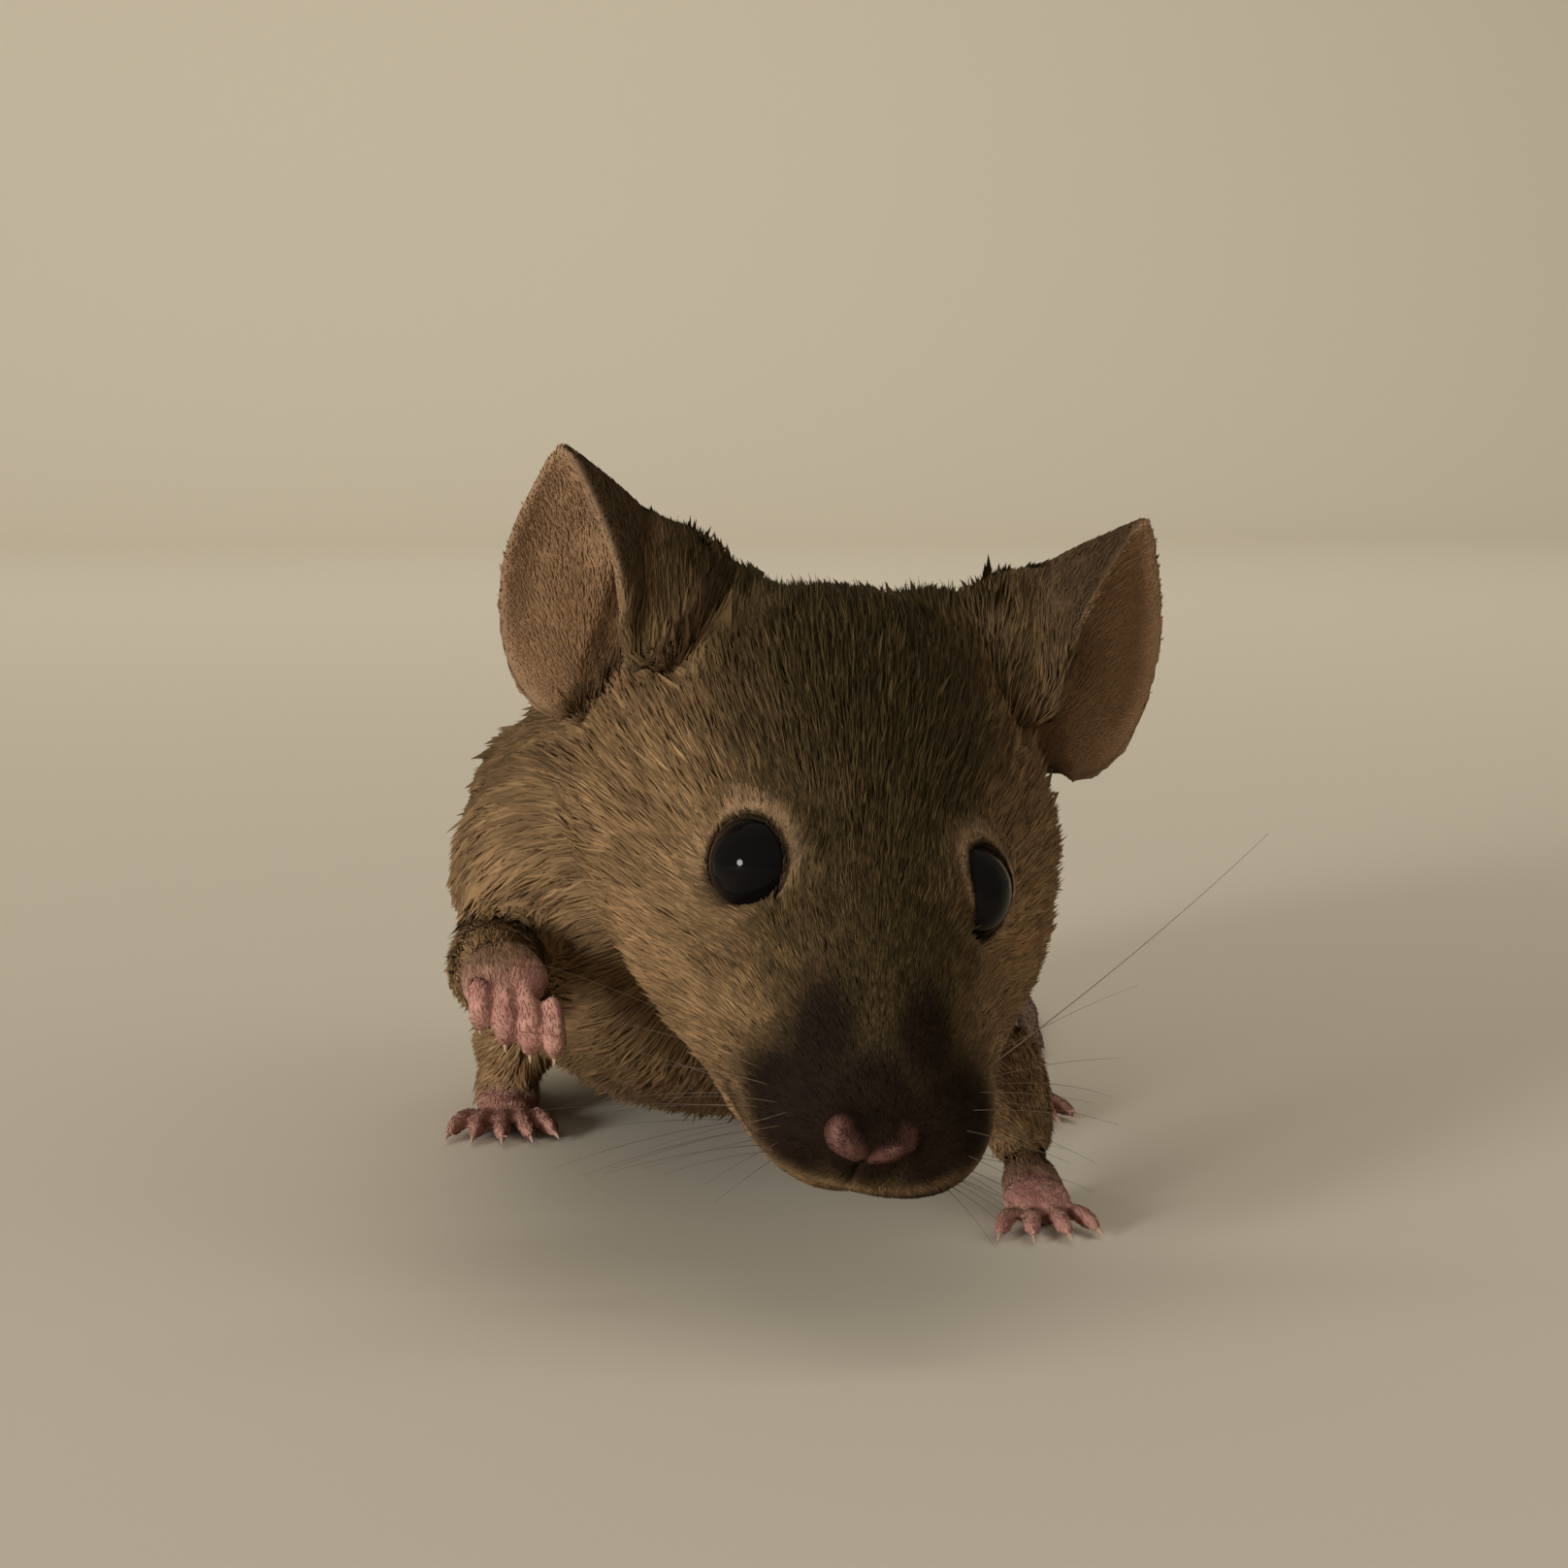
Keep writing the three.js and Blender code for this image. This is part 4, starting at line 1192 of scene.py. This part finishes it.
    def layout(self) -> dict[str, tuple[Slot, list[Strip]]]:
        """The coat's pieces, with the strips that their maps are made of, in ground coordinates."""
        ahead, up = (0.0, 1.0, 0.0), (0.0, 0.0, 1.0)
        limbs = {
            "foreleg_upper": ((6.5, 18.0, 17.0), (8.5, 19.0, 8.0), ahead),
            "foreleg_lower": ((9.6, 20.0, 6.0), (9.7, 9.0, 2.0), up),
            "thigh": ((8.5, 44.0, 14.0), (10.4, 28.6, 6.0), up),
            "shank": ((11.2, 31.0, 3.7), (11.3, 45.0, 2.7), up),
        }
        strips: dict[str, tuple[Slot, list[Strip]]] = {
            "coat_head": (
                Slot.FUR_DARK,
                [Strip(("head", "lower_jaw", "nose"), (0, -12, 9), (0, 17, 16), (0, 0, -1))],
            ),
            "coat_body": (
                Slot.FUR_DARK,
                [Strip(("neck", "chest", "belly"), (0, 6, 14), (0, 52, 10), (0, 0, -1))],
            ),
            "coat_ears": (
                Slot.EAR,
                [
                    Strip(
                        (f"ear_{name}",), (s * 9, 8, 15), (s * 9.5, 14, 26), (0, 1, 0), Unroll.FLAT
                    )
                    for name, s in SIDES.items()
                ],
            ),
        }
        legs = []
        for name, side in SIDES.items():
            for limb, (start, end, zero) in limbs.items():
                flip = np.array((side, 1.0, 1.0))
                legs.append(
                    Strip((f"{limb}_{name}",), tuple(flip * start), tuple(flip * end), zero)
                )
        strips["coat_legs"] = (Slot.FUR_TAN, legs)
        feet = [Strip((f"{foot}_{name}",), (s * 11, 45, 1), (s * 12, 27, 1), up)
                for name, s in SIDES.items() for foot in ("forepaw", "hind_foot")]
        tail = Strip(("tail_base", "tail_middle", "tail_tip"), (10, 60, 8), (10, 60, 0), (0, -1, 0))
        strips["coat_feet_tail"] = (Slot.TAIL, feet + [tail])
        return strips

    def lay_out(self, strips: list[Strip], root: Array, owner: Array) -> tuple[Array, Array]:
        """Unrolls the roots of one coat piece.

        Args:
            strips: The strips of its map, side by side.
            root: All roots.
            owner: The node that each belongs to.

        Returns:
            The indices of the piece's roots and their places on its map.
        """
        chosen, places = [], []
        for k, strip in enumerate(strips):
            index = np.nonzero(np.isin(owner, [NODES.index(n) for n in strip.nodes]))[0]
            start, end = self.skin.head.ground([strip.start, strip.end])
            axis = unit(end - start)
            zero = unit(np.asarray(strip.zero) - np.dot(strip.zero, axis) * axis)
            other = np.cross(axis, zero)
            offset = root[index] - start
            if strip.kind is Unroll.ROUND:
                u = np.arctan2(offset @ other, offset @ zero) / (2 * math.pi) + 0.5
            else:
                u = self.leaf_place(offset @ other, self.hollow[index])
            v = offset @ axis
            uv = np.stack([u, v], axis=1)
            low, high = uv.min(axis=0), uv.max(axis=0)
            uv = (uv - low) / np.maximum(high - low, 1e-6) * 0.96 + 0.02
            uv[:, 0] = (uv[:, 0] + k) / len(strips)
            chosen.append(index)
            places.append(uv)
        return np.concatenate(chosen), np.concatenate(places)

    @staticmethod
    def leaf_place(across: Array, hollow: Array) -> Array:
        """Places across a leaf, its hollow face and its back side by side."""
        spread = (across - across.min()) / (across.max() - across.min())
        return 0.5 * (0.96 * spread + (hollow > 0.5))


# ---------------------------------------------------------------- shaders


class Signal:
    """A shader socket that takes part in Python expressions."""

    def __init__(self, shader: "Shader", socket: bpy.types.NodeSocket) -> None:
        """Keeps the socket and the shader that it belongs to."""
        self.shader = shader
        self.socket = socket

    def math(self, operation: str, *others: Any, first: Any = None) -> "Signal":
        """A Math node on this value and others."""
        values = [self if first is None else first, *others]
        return self.shader.node("ShaderNodeMath", {"operation": operation}, dict(enumerate(values)))

    def __add__(self, other: Any) -> "Signal":
        """This value plus another."""
        return self.math("ADD", other)

    def __radd__(self, other: Any) -> "Signal":
        """A value plus this one."""
        return self.math("ADD", other)

    def __mul__(self, other: Any) -> "Signal":
        """This value times another."""
        return self.math("MULTIPLY", other)

    def __rmul__(self, other: Any) -> "Signal":
        """A value times this one."""
        return self.math("MULTIPLY", other)

    def __sub__(self, other: Any) -> "Signal":
        """This value less another."""
        return self.math("SUBTRACT", other)

    def __rsub__(self, other: Any) -> "Signal":
        """A value less this one."""
        return self.math("SUBTRACT", self, first=other)

    def __pow__(self, other: Any) -> "Signal":
        """This value to a power."""
        return self.math("POWER", other)

    def between(self, low: float, high: float) -> "Signal":
        """0 below low, 1 above high and an even S between them."""
        return self.shader.node(
            "ShaderNodeMapRange",
            {"interpolation_type": "SMOOTHSTEP"},
            {"Value": self, "From Min": low, "From Max": high},
        )


@dataclass
class Shader:
    """A material under construction."""

    name: str
    material: bpy.types.Material = field(init=False)

    def __post_init__(self) -> None:
        """Makes the material and clears its nodes."""
        self.material = bpy.data.materials.new(self.name)
        self.material.use_nodes = True
        self.material.node_tree.nodes.clear()

    def node(
        self,
        kind: str,
        settings: dict[str, Any] | None = None,
        inputs: dict[str | int, Any] | None = None,
        output: str | int = 0,
    ) -> Signal:
        """Adds a node.

        Args:
            kind: The node's type.
            settings: Its own settings, set before its sockets.
            inputs: The value or link of each socket, by name or number.
            output: The socket that is returned.

        Returns:
            The chosen output.
        """
        tree = self.material.node_tree
        node = tree.nodes.new(kind)
        for key, value in (settings or {}).items():
            setattr(node, key, value)
        for key, value in (inputs or {}).items():
            socket = node.inputs[key]
            if isinstance(value, Signal):
                tree.links.new(value.socket, socket)
            else:
                socket.default_value = value
        return Signal(self, node.outputs[output]) if len(node.outputs) else Signal(self, None)

    def mix(self, low: Any, high: Any, amount: Any) -> Signal:
        """A colour between two, by an amount from 0 to 1."""
        settings = {"data_type": "RGBA", "clamp_factor": True}
        return self.node("ShaderNodeMix", settings, {0: amount, 6: low, 7: high}, 2)

    def dim(self, colour: Any, level: Any) -> Signal:
        """A colour times a brightness."""
        grey = self.node("ShaderNodeCombineXYZ", {}, {0: level, 1: level, 2: level})
        settings = {"data_type": "RGBA", "blend_type": "MULTIPLY"}
        return self.node("ShaderNodeMix", settings, {0: 1.0, 6: colour, 7: grey}, 2)

    def attribute(self, name: str) -> tuple[Signal, Signal, Signal]:
        """The three numbers of a vector attribute."""
        vector = self.node("ShaderNodeAttribute", {"attribute_name": name}, {}, "Vector")
        split = self.node("ShaderNodeSeparateXYZ", {}, {0: vector})
        outputs = split.socket.node.outputs
        return tuple(Signal(self, outputs[i]) for i in range(3))

    def noise(self, scale: float, detail: float = 2.0) -> Signal:
        """Noise over the surface, by its own coordinates."""
        place = self.node("ShaderNodeTexCoord", {}, {}, "Object")
        inputs = {"Vector": place, "Scale": scale, "Detail": detail}
        return self.node("ShaderNodeTexNoise", {}, inputs)

    def close(self, inputs: dict[str, Any]) -> bpy.types.Material:
        """Ends the material in a Principled shader with those inputs."""
        surface = self.node("ShaderNodeBsdfPrincipled", {}, inputs)
        self.node("ShaderNodeOutputMaterial", {}, {"Surface": surface})
        return self.material


def colour(red: float, green: float, blue: float) -> tuple[float, float, float, float]:
    """A colour given as display values from 0 to 255, for a shader."""
    linear = [
        (v / 255 / 12.92) if v <= 10 else ((v / 255 + 0.055) / 1.055) ** 2.4
        for v in (red, green, blue)
    ]
    return (*linear, 1.0)


@dataclass(frozen=True)
class FurFinish:
    """The colours of coat and bare skin."""

    olive: tuple = colour(60, 48, 28)
    tan: tuple = colour(134, 105, 73)
    # dark brown of the muzzle with painted shade in it, also the colour of the painted shadow under
    # the lip and the painted shade on the breast
    muzzle: tuple = colour(34, 23, 15)
    pale: tuple = colour(150, 120, 90)
    fleck: tuple = colour(122, 97, 64)
    bare: tuple = colour(188, 140, 124)
    flush: tuple = colour(150, 100, 90)
    nose: tuple = colour(94, 62, 55)
    wrist: tuple = colour(96, 70, 60)
    ear_hollow: tuple = colour(174, 138, 104)
    # browner and darker: painted shade low in the ear's hollow
    ear_deep: tuple = colour(112, 80, 46)
    ear_streak: tuple = colour(186, 148, 114)
    ear_back: tuple = colour(78, 60, 41)
    tail: tuple = colour(122, 94, 82)
    made: dict = field(default_factory=dict)

    def hair_colour(self, shader: Shader) -> Signal:
        """The coat's colour by its markings, with the painted shade of muzzle, mouth and breast in
        its dark one.
        """
        tan, dark, pale = shader.attribute("coat_marks")
        tone = shader.mix(self.olive, self.tan, tan)
        tone = shader.mix(tone, self.pale, pale)
        return shader.mix(tone, self.muzzle, dark)

    def ear_colour(self, shader: Shader) -> Signal:
        """The ears: dark behind, tan in the hollow, with a browner middle darkened as painted shade
        and a pale streak.
        """
        hollow, deep, streak = shader.attribute("ear_marks")
        inner = shader.mix(self.ear_hollow, self.ear_deep, 0.8 * deep)
        inner = shader.mix(inner, self.ear_streak, 0.8 * streak)
        return shader.mix(self.ear_back, inner, hollow)

    def coat(self) -> bpy.types.Material:
        """Agouti fur: darker at the root, a pale band below the tip on some tufts."""
        if "coat" not in self.made:
            shader = Shader("fur")
            along, shade, fleck = shader.attribute("tuft")
            bare, ear, tail = shader.attribute("skin_marks")
            tan, dark, _ = shader.attribute("coat_marks")
            tone = self.hair_colour(shader)
            tone = shader.mix(tone, self.ear_colour(shader), ear)
            tone = shader.mix(tone, shader.mix(self.bare, self.nose, dark), bare)
            tone = shader.mix(tone, self.tail, tail)
            contrast = (1.0 - 0.6 * ear) * (0.6 + 0.45 * tan)
            banded = fleck * contrast * along.between(0.1, 0.6) * (1.0 - dark)
            tone = shader.mix(tone, self.fleck, 0.45 * banded)
            level = (0.45 + 0.55 * along.between(0.0, 0.7)) * (1.0 + 0.27 * shade * contrast)
            level = level * (1.0 + 0.3 * banded)
            tone = shader.dim(tone, level)
            self.made["coat"] = shader.close(
                {"Base Color": tone, "Roughness": 0.65, "Specular IOR Level": 0.05}
            )
        return self.made["coat"]

    def skin(self) -> bpy.types.Material:
        """Undercoat where fur grows, and bare skin on nose, ears, paws and tail."""
        shader = Shader("skin")
        bare, ear, tail = shader.attribute("skin_marks")
        _, dark, _ = shader.attribute("coat_marks")
        mottle = shader.noise(900.0, 3.0)
        under = shader.dim(self.hair_colour(shader), 0.55)
        pink = shader.mix(self.bare, self.flush, mottle.between(0.35, 0.7))
        pink = shader.mix(pink, self.nose, dark)
        pink = shader.mix(self.wrist, pink, bare.between(0.3, 0.95))
        tone = shader.mix(under, pink, bare.between(0.05, 0.5))
        tone = shader.mix(tone, shader.dim(self.ear_colour(shader), 0.6 + 0.35 * mottle), ear)
        tone = shader.mix(tone, self.tail, tail)
        tail_place = shader.node("ShaderNodeAttribute", {"attribute_name": "along_tail"}, {}, "Fac")
        rings = (tail_place * (2 * math.pi / 0.42)).math("SINE") * tail
        creases = shader.noise(2600.0, 2.0)
        height = rings * 0.6 + mottle + creases * 0.5
        bump = shader.node(
            "ShaderNodeBump", {}, {"Strength": 0.4, "Distance": 0.04 * MM, "Height": height}
        )
        smoothness = (bare + ear + tail).between(0.0, 1.0)
        return shader.close(
            {
                "Base Color": tone,
                "Roughness": 0.9 - 0.38 * smoothness,
                "Specular IOR Level": 0.12,
                "Normal": bump,
            }
        )


@dataclass(frozen=True)
class EyeFinish:
    """A glossy, near black eye, with a faint brownish painted sheen."""

    tone: tuple = (0.004, 0.0035, 0.0035, 1.0)

    def material(self) -> bpy.types.Material:
        """The eye's material."""
        shader = Shader("eye")
        # Faint lighter brown patches by noise over the black: a painted sheen.
        painted_sheen = shader.noise(260.0, 1.0)
        tone = shader.mix(self.tone, (0.012, 0.009, 0.008, 1.0), painted_sheen.between(0.45, 0.75))
        return shader.close(
            {"Base Color": tone, "Roughness": 0.06, "Specular IOR Level": 0.085}
        )


# ---------------------------------------------------------------- eyes, whiskers and claws


def tubes(paths: Sequence[Array], radii: Sequence[Array], sides: int) -> Surface:
    """Closed tapered tubes along paths, as one surface.

    Args:
        paths: The points of each path.
        radii: The radius at each of those points.
        sides: How many sides a tube has.

    Returns:
        The tubes.
    """
    parts = []
    turns = np.linspace(0, 2 * math.pi, sides, endpoint=False)
    for path, radius in zip(paths, radii):
        ahead = unit(np.gradient(path, axis=0))
        across = unit(np.cross(ahead, (0.31, 0.17, 0.93)))
        other = np.cross(ahead, across)
        ring = np.cos(turns)[:, None, None] * across + np.sin(turns)[:, None, None] * other
        points = path[:, None] + np.asarray(radius)[:, None, None] * ring.transpose(1, 0, 2)
        faces = []
        for k in range(len(path) - 1):
            for j in range(sides):
                a, b = k * sides + j, k * sides + (j + 1) % sides
                faces += [(a, b, a + sides), (b, b + sides, a + sides)]
        last = (len(path) - 1) * sides
        faces += [(0, j + 1, j) for j in range(1, sides - 1)]
        faces += [(last, last + j, last + j + 1) for j in range(1, sides - 1)]
        parts.append(Surface(points.reshape(-1, 3), np.array(faces)))
    return Surface.joined(parts)


@dataclass
class Eyes:
    """The two eyeballs."""

    head: HeadFrame
    sides: int = 64
    rings: int = 40

    def build(self, finish: EyeFinish) -> None:
        """Adds both eyeballs, each with a slightly domed cornea."""
        material = finish.material()
        for name, side in SIDES.items():
            facing = self.head.eye_facing(side)
            across = unit(np.cross((0.0, 0.0, 1.0), facing))
            upright = np.cross(facing, across)
            points = []
            for i in range(self.rings + 1):
                angle = math.pi * i / self.rings
                swell = 1.0 + 0.035 * math.exp(-((angle / 0.75) ** 4))
                for j in range(self.sides):
                    turn = 2 * math.pi * j / self.sides
                    out = math.cos(turn) * across + math.sin(turn) * upright
                    ray = math.cos(angle) * facing + math.sin(angle) * out
                    points.append(BALL_RADIUS[side] * swell * ray)
            mesh = self.closed_ball(np.array(points) + self.head.eye_centre(side))
            add_piece(f"eyeball_{name}", mesh, material, [f"eye_{name}"])

    def closed_ball(self, points: Array) -> bpy.types.Mesh:
        """A mesh of rings of points from pole to pole."""
        faces = []
        for i in range(self.rings):
            for j in range(self.sides):
                a, b = i * self.sides + j, i * self.sides + (j + 1) % self.sides
                c, d = a + self.sides, b + self.sides
                if i > 0:
                    faces.append((a, c, b))
                if i < self.rings - 1:
                    faces.append((b, c, d))
        mesh = Surface(self.head.row(points), np.array(faces)).to_mesh("eyeball")
        work = bmesh.new()
        work.from_mesh(mesh)
        bmesh.ops.remove_doubles(work, verts=work.verts, dist=1e-7)
        bmesh.ops.recalc_face_normals(work, faces=work.faces)
        work.to_mesh(mesh)
        work.free()
        return mesh


@dataclass
class Whiskers:
    """The whiskers on the muzzle: short and fine but for one long, thicker one, all in one mottled
    brown.
    """

    skin: Skin
    rows: int = 4
    columns: int = 5
    long_tip: Triple = (13.4, 3.2, 1.6)  # from the left eye's centre, in the row frame

    def build(self) -> None:
        """Adds all whiskers as one piece."""
        rng = np.random.default_rng(SEED + 2)
        head, search = self.skin.head, Nearest(self.skin.surface.points)
        paths, radii = [], []
        share = np.linspace(0, 1, 9)[:, None]
        for side in SIDES.values():
            for row in range(self.rows):
                for column in range(self.columns):
                    place = np.array((side * 3.4, -9.4 + 0.85 * column, -7.2 + 0.9 * row))
                    root = self.skin.surface.points[search(head.row(place)[None])[0]]
                    back = column / (self.columns - 1)
                    length = lerp(3.0, 10.0, back) * rng.uniform(0.8, 1.1)
                    lean = (side * 1.0, lerp(-0.25, 0.6, back), -0.55 + 0.22 * row)
                    out = unit(np.array(lean) + rng.normal(0, 0.1, 3)) @ head.turn.T
                    droop = np.array((0.0, 0.35, -0.22)) * length * share**2 * rng.uniform(0.5, 1.1)
                    paths.append(root - 0.2 * out + out * length * share + droop)
                    radii.append(lerp(0.015, 0.005, share[:, 0]))
        paths.append(self.long_one(share))
        radii.append(lerp(0.026, 0.01, share[:, 0]))
        shader = Shader("whisker")
        mottle = shader.noise(70.0).between(0.4, 0.6)
        tone = shader.mix(colour(64, 49, 37), colour(104, 84, 64), mottle)
        material = shader.close({"Base Color": tone, "Roughness": 0.45})
        add_piece("whiskers", tubes(paths, radii, 4).to_mesh("whiskers"), material)

    def long_one(self, share: Array) -> Array:
        """The path of the long whisker, up past the left cheek."""
        head = self.skin.head
        start = head.row(np.array((3.3, -7.4, -4.6)))
        end = head.row(head.eye_centre(1.0)) + self.long_tip
        bend = lerp(start, end, 0.45) + (1.2, -1.0, 0.6)
        return lerp(lerp(start, bend, share), lerp(bend, end, share), share)


@dataclass(frozen=True)
class Toes:
    """A fan of digits on the floor, as the solids have it, on the mouse's left side."""

    count: int
    first: Triple
    last: Triple
    length: float
    spread: float
    drop: float
    lead: Triple
    shift: float  # across, after mirroring

    def ends(self, side: float) -> list[tuple[Array, Array]]:
        """Where each digit ends and which way it points, in ground coordinates."""
        found = []
        for share in np.linspace(0, 1, self.count):
            aside = math.radians(lerp(-self.spread, self.spread, share))
            turn = np.array(Matrix.Rotation(aside, 3, "Z"))
            out = turn @ np.array(self.lead)
            reach = self.length * (1 - 0.55 * abs(share - 0.5) ** 1.5)
            root = lerp(np.array(self.first), np.array(self.last), share)
            end = root + out * reach - (0, 0, self.drop)
            flip = np.array((side, 1.0, 1.0))
            found.append((end * flip + (self.shift, 0.0, 0.0), out * flip))
        return found


FORE_TOES = Toes(4, (8.15, 8.5, 0.6), (10.7, 8.7, 0.6), 3.1, 20.0, 0.25, (-0.06, -1.0, 0.0), 0.0)
HIND_TOES = Toes(
    5, (10.8, 31.9, 0.6), (13.7, 32.3, 0.6), 4.6, 17.0, 0.2, (0.08, -1.0, 0.0), HIP_SHIFT
)


@dataclass
class Claws:
    """A small curved claw at the end of every digit."""

    head: HeadFrame
    length: float = 0.5
    radius: float = 0.12

    def ends(self) -> list[tuple[Array, Array, Array]]:
        """Where each digit ends, which way it points and which way its claw bends."""
        down = np.array((0.0, 0.0, -1.0))
        found = [(place, out, down) for place, out in FORE_TOES.ends(1.0)]
        for side in SIDES.values():
            found += [(place, out, down) for place, out in HIND_TOES.ends(side)]
        for i, reach in enumerate((1.75, 2.25, 2.45, 2.35)):
            root = lerp(np.array((-14.15, 3.7, 11.7)), np.array((-11.3, 3.7, 11.0)), i / 3)
            end = root + (0.05 * reach, 0.35, -reach)
            found.append((end, unit(np.array((0.05, -0.25, -1.0))), np.array((0.0, 1.0, -0.2))))
        return found

    def build(self) -> None:
        """Adds all claws as one piece."""
        paths, radii = [], []
        share = np.linspace(0, 1, 7)[:, None]
        for place, out, bend in self.ends():
            start = self.head.ground(place)
            path = start + self.length * ((share - 0.35) * out + 0.3 * share**2 * bend)
            paths.append(above_floor(path, 0.12))
            radii.append(self.radius * np.sqrt(1.0 - 0.985 * share[:, 0]))
        shader = Shader("claw")
        material = shader.close({"Base Color": colour(176, 146, 124), "Roughness": 0.4})
        add_piece("claws", tubes(paths, radii, 7).to_mesh("claws"), material)


# ---------------------------------------------------------------- stage


@dataclass
class Stage:
    """Floor, lights and camera."""

    head: HeadFrame
    azimuth: float = -9.0
    elevation: float = 6.0
    distance: float = 125.0  # from the eyes, along the view, in millimetres
    shift: tuple[float, float] = (2.7, -3.63)  # of the eyes from the view's middle, right and up
    lens: float = 75.19

    def build(self) -> None:
        """Adds floor, lights and camera."""
        self.floor()
        self.lights()
        self.camera()

    def floor(self) -> None:
        """A plain pale floor that sweeps up behind into a plain wall."""
        profile = [(-900.0, 0.0)] + [(900.0, 0.0)]
        for k in range(1, 17):
            angle = math.pi / 2 * k / 16
            profile.append((900 + 300 * math.sin(angle), 300 - 300 * math.cos(angle)))
        profile.append((1200.0, 1800.0))
        points = [(x, y, z) for x in (-2500.0, 2500.0) for y, z in profile]
        count = len(profile)
        faces = []
        for k in range(count - 1):
            faces += [(k, count + k, k + 1), (k + 1, count + k, count + k + 1)]
        mesh = Surface(np.array(points), np.array(faces)).to_mesh("floor")
        obj = bpy.data.objects.new("floor", mesh)
        bpy.context.scene.collection.objects.link(obj)
        shader = Shader("floor")
        mesh.materials.append(shader.close({"Base Color": colour(214, 204, 184), "Roughness": 0.9}))

    def lights(self) -> None:
        """A low key from the camera's left, a weak fill, one for the wall and a pale surround."""
        self.lamp("key", (-430, -430, 112), 150, 2.9)
        self.lamp("fill", (420, -260, 330), 420, 0.25)
        self.lamp("backdrop", (0, 420, 900), 900, 4.6, (0.0, 1200.0, 300.0))
        world = bpy.data.worlds.new("surround")
        bpy.context.scene.world = world
        world.use_nodes = True
        background = world.node_tree.nodes["Background"]
        background.inputs["Color"].default_value = colour(236, 228, 212)
        background.inputs["Strength"].default_value = 0.4

    def lamp(
        self, name: str, place: Triple, size: float, power: float, aim: Triple | None = None
    ) -> None:
        """Adds a round area light, in millimetres, that only shows in the eyes if it is the key.

        Args:
            name: The light's name.
            place: Where it stands.
            size: How wide it is.
            power: How strong it is, in watts.
            aim: What it points at, which is the head if nothing is given.
        """
        data = bpy.data.lights.new(name, "AREA")
        data.shape = "DISK"
        data.size, data.energy = size * MM, power
        obj = bpy.data.objects.new(name, data)
        bpy.context.scene.collection.objects.link(obj)
        obj.location = Vector(place) * MM
        obj.visible_glossy = name == "key"
        target = Vector(self.head.origin if aim is None else aim) * MM
        obj.rotation_euler = (target - obj.location).to_track_quat("-Z", "Y").to_euler()

    def camera(self) -> None:
        """The camera, off the head's middle by the shift and level from side to side."""
        azimuth, elevation = math.radians(self.azimuth), math.radians(self.elevation)
        ahead = Vector(
            (
                -math.sin(azimuth) * math.cos(elevation),
                math.cos(azimuth) * math.cos(elevation),
                -math.sin(elevation),
            )
        )
        right = Vector((math.cos(azimuth), math.sin(azimuth), 0.0))
        up = right.cross(ahead)
        place = Vector(self.head.origin) - self.distance * ahead
        place = place - self.shift[0] * right - self.shift[1] * up
        data = bpy.data.cameras.new("camera")
        data.lens, data.sensor_width = self.lens, 36.0
        data.clip_start, data.clip_end = 0.005, 20.0
        obj = bpy.data.objects.new("camera", data)
        bpy.context.scene.collection.objects.link(obj)
        turn = Matrix((right, up, -ahead)).transposed().to_4x4()
        obj.matrix_world = Matrix.Translation(place * MM) @ turn
        bpy.context.scene.camera = obj
        bpy.context.scene.view_settings.view_transform = "Standard"


def main() -> None:
    """Builds the mouse and its stage, and logs how large the mouse's pieces are."""
    logging.basicConfig(level=logging.INFO, format="%(message)s")
    head = HeadFrame.from_eyes()
    skin = Skin(head)
    skin.build()
    finish = FurFinish()
    skin.dress(finish)
    Eyes(head).build(EyeFinish())
    Coat(skin).build(finish)
    Whiskers(skin).build()
    Claws(head).build()
    Stage(head).build()


if __name__ == "__main__":
    main()
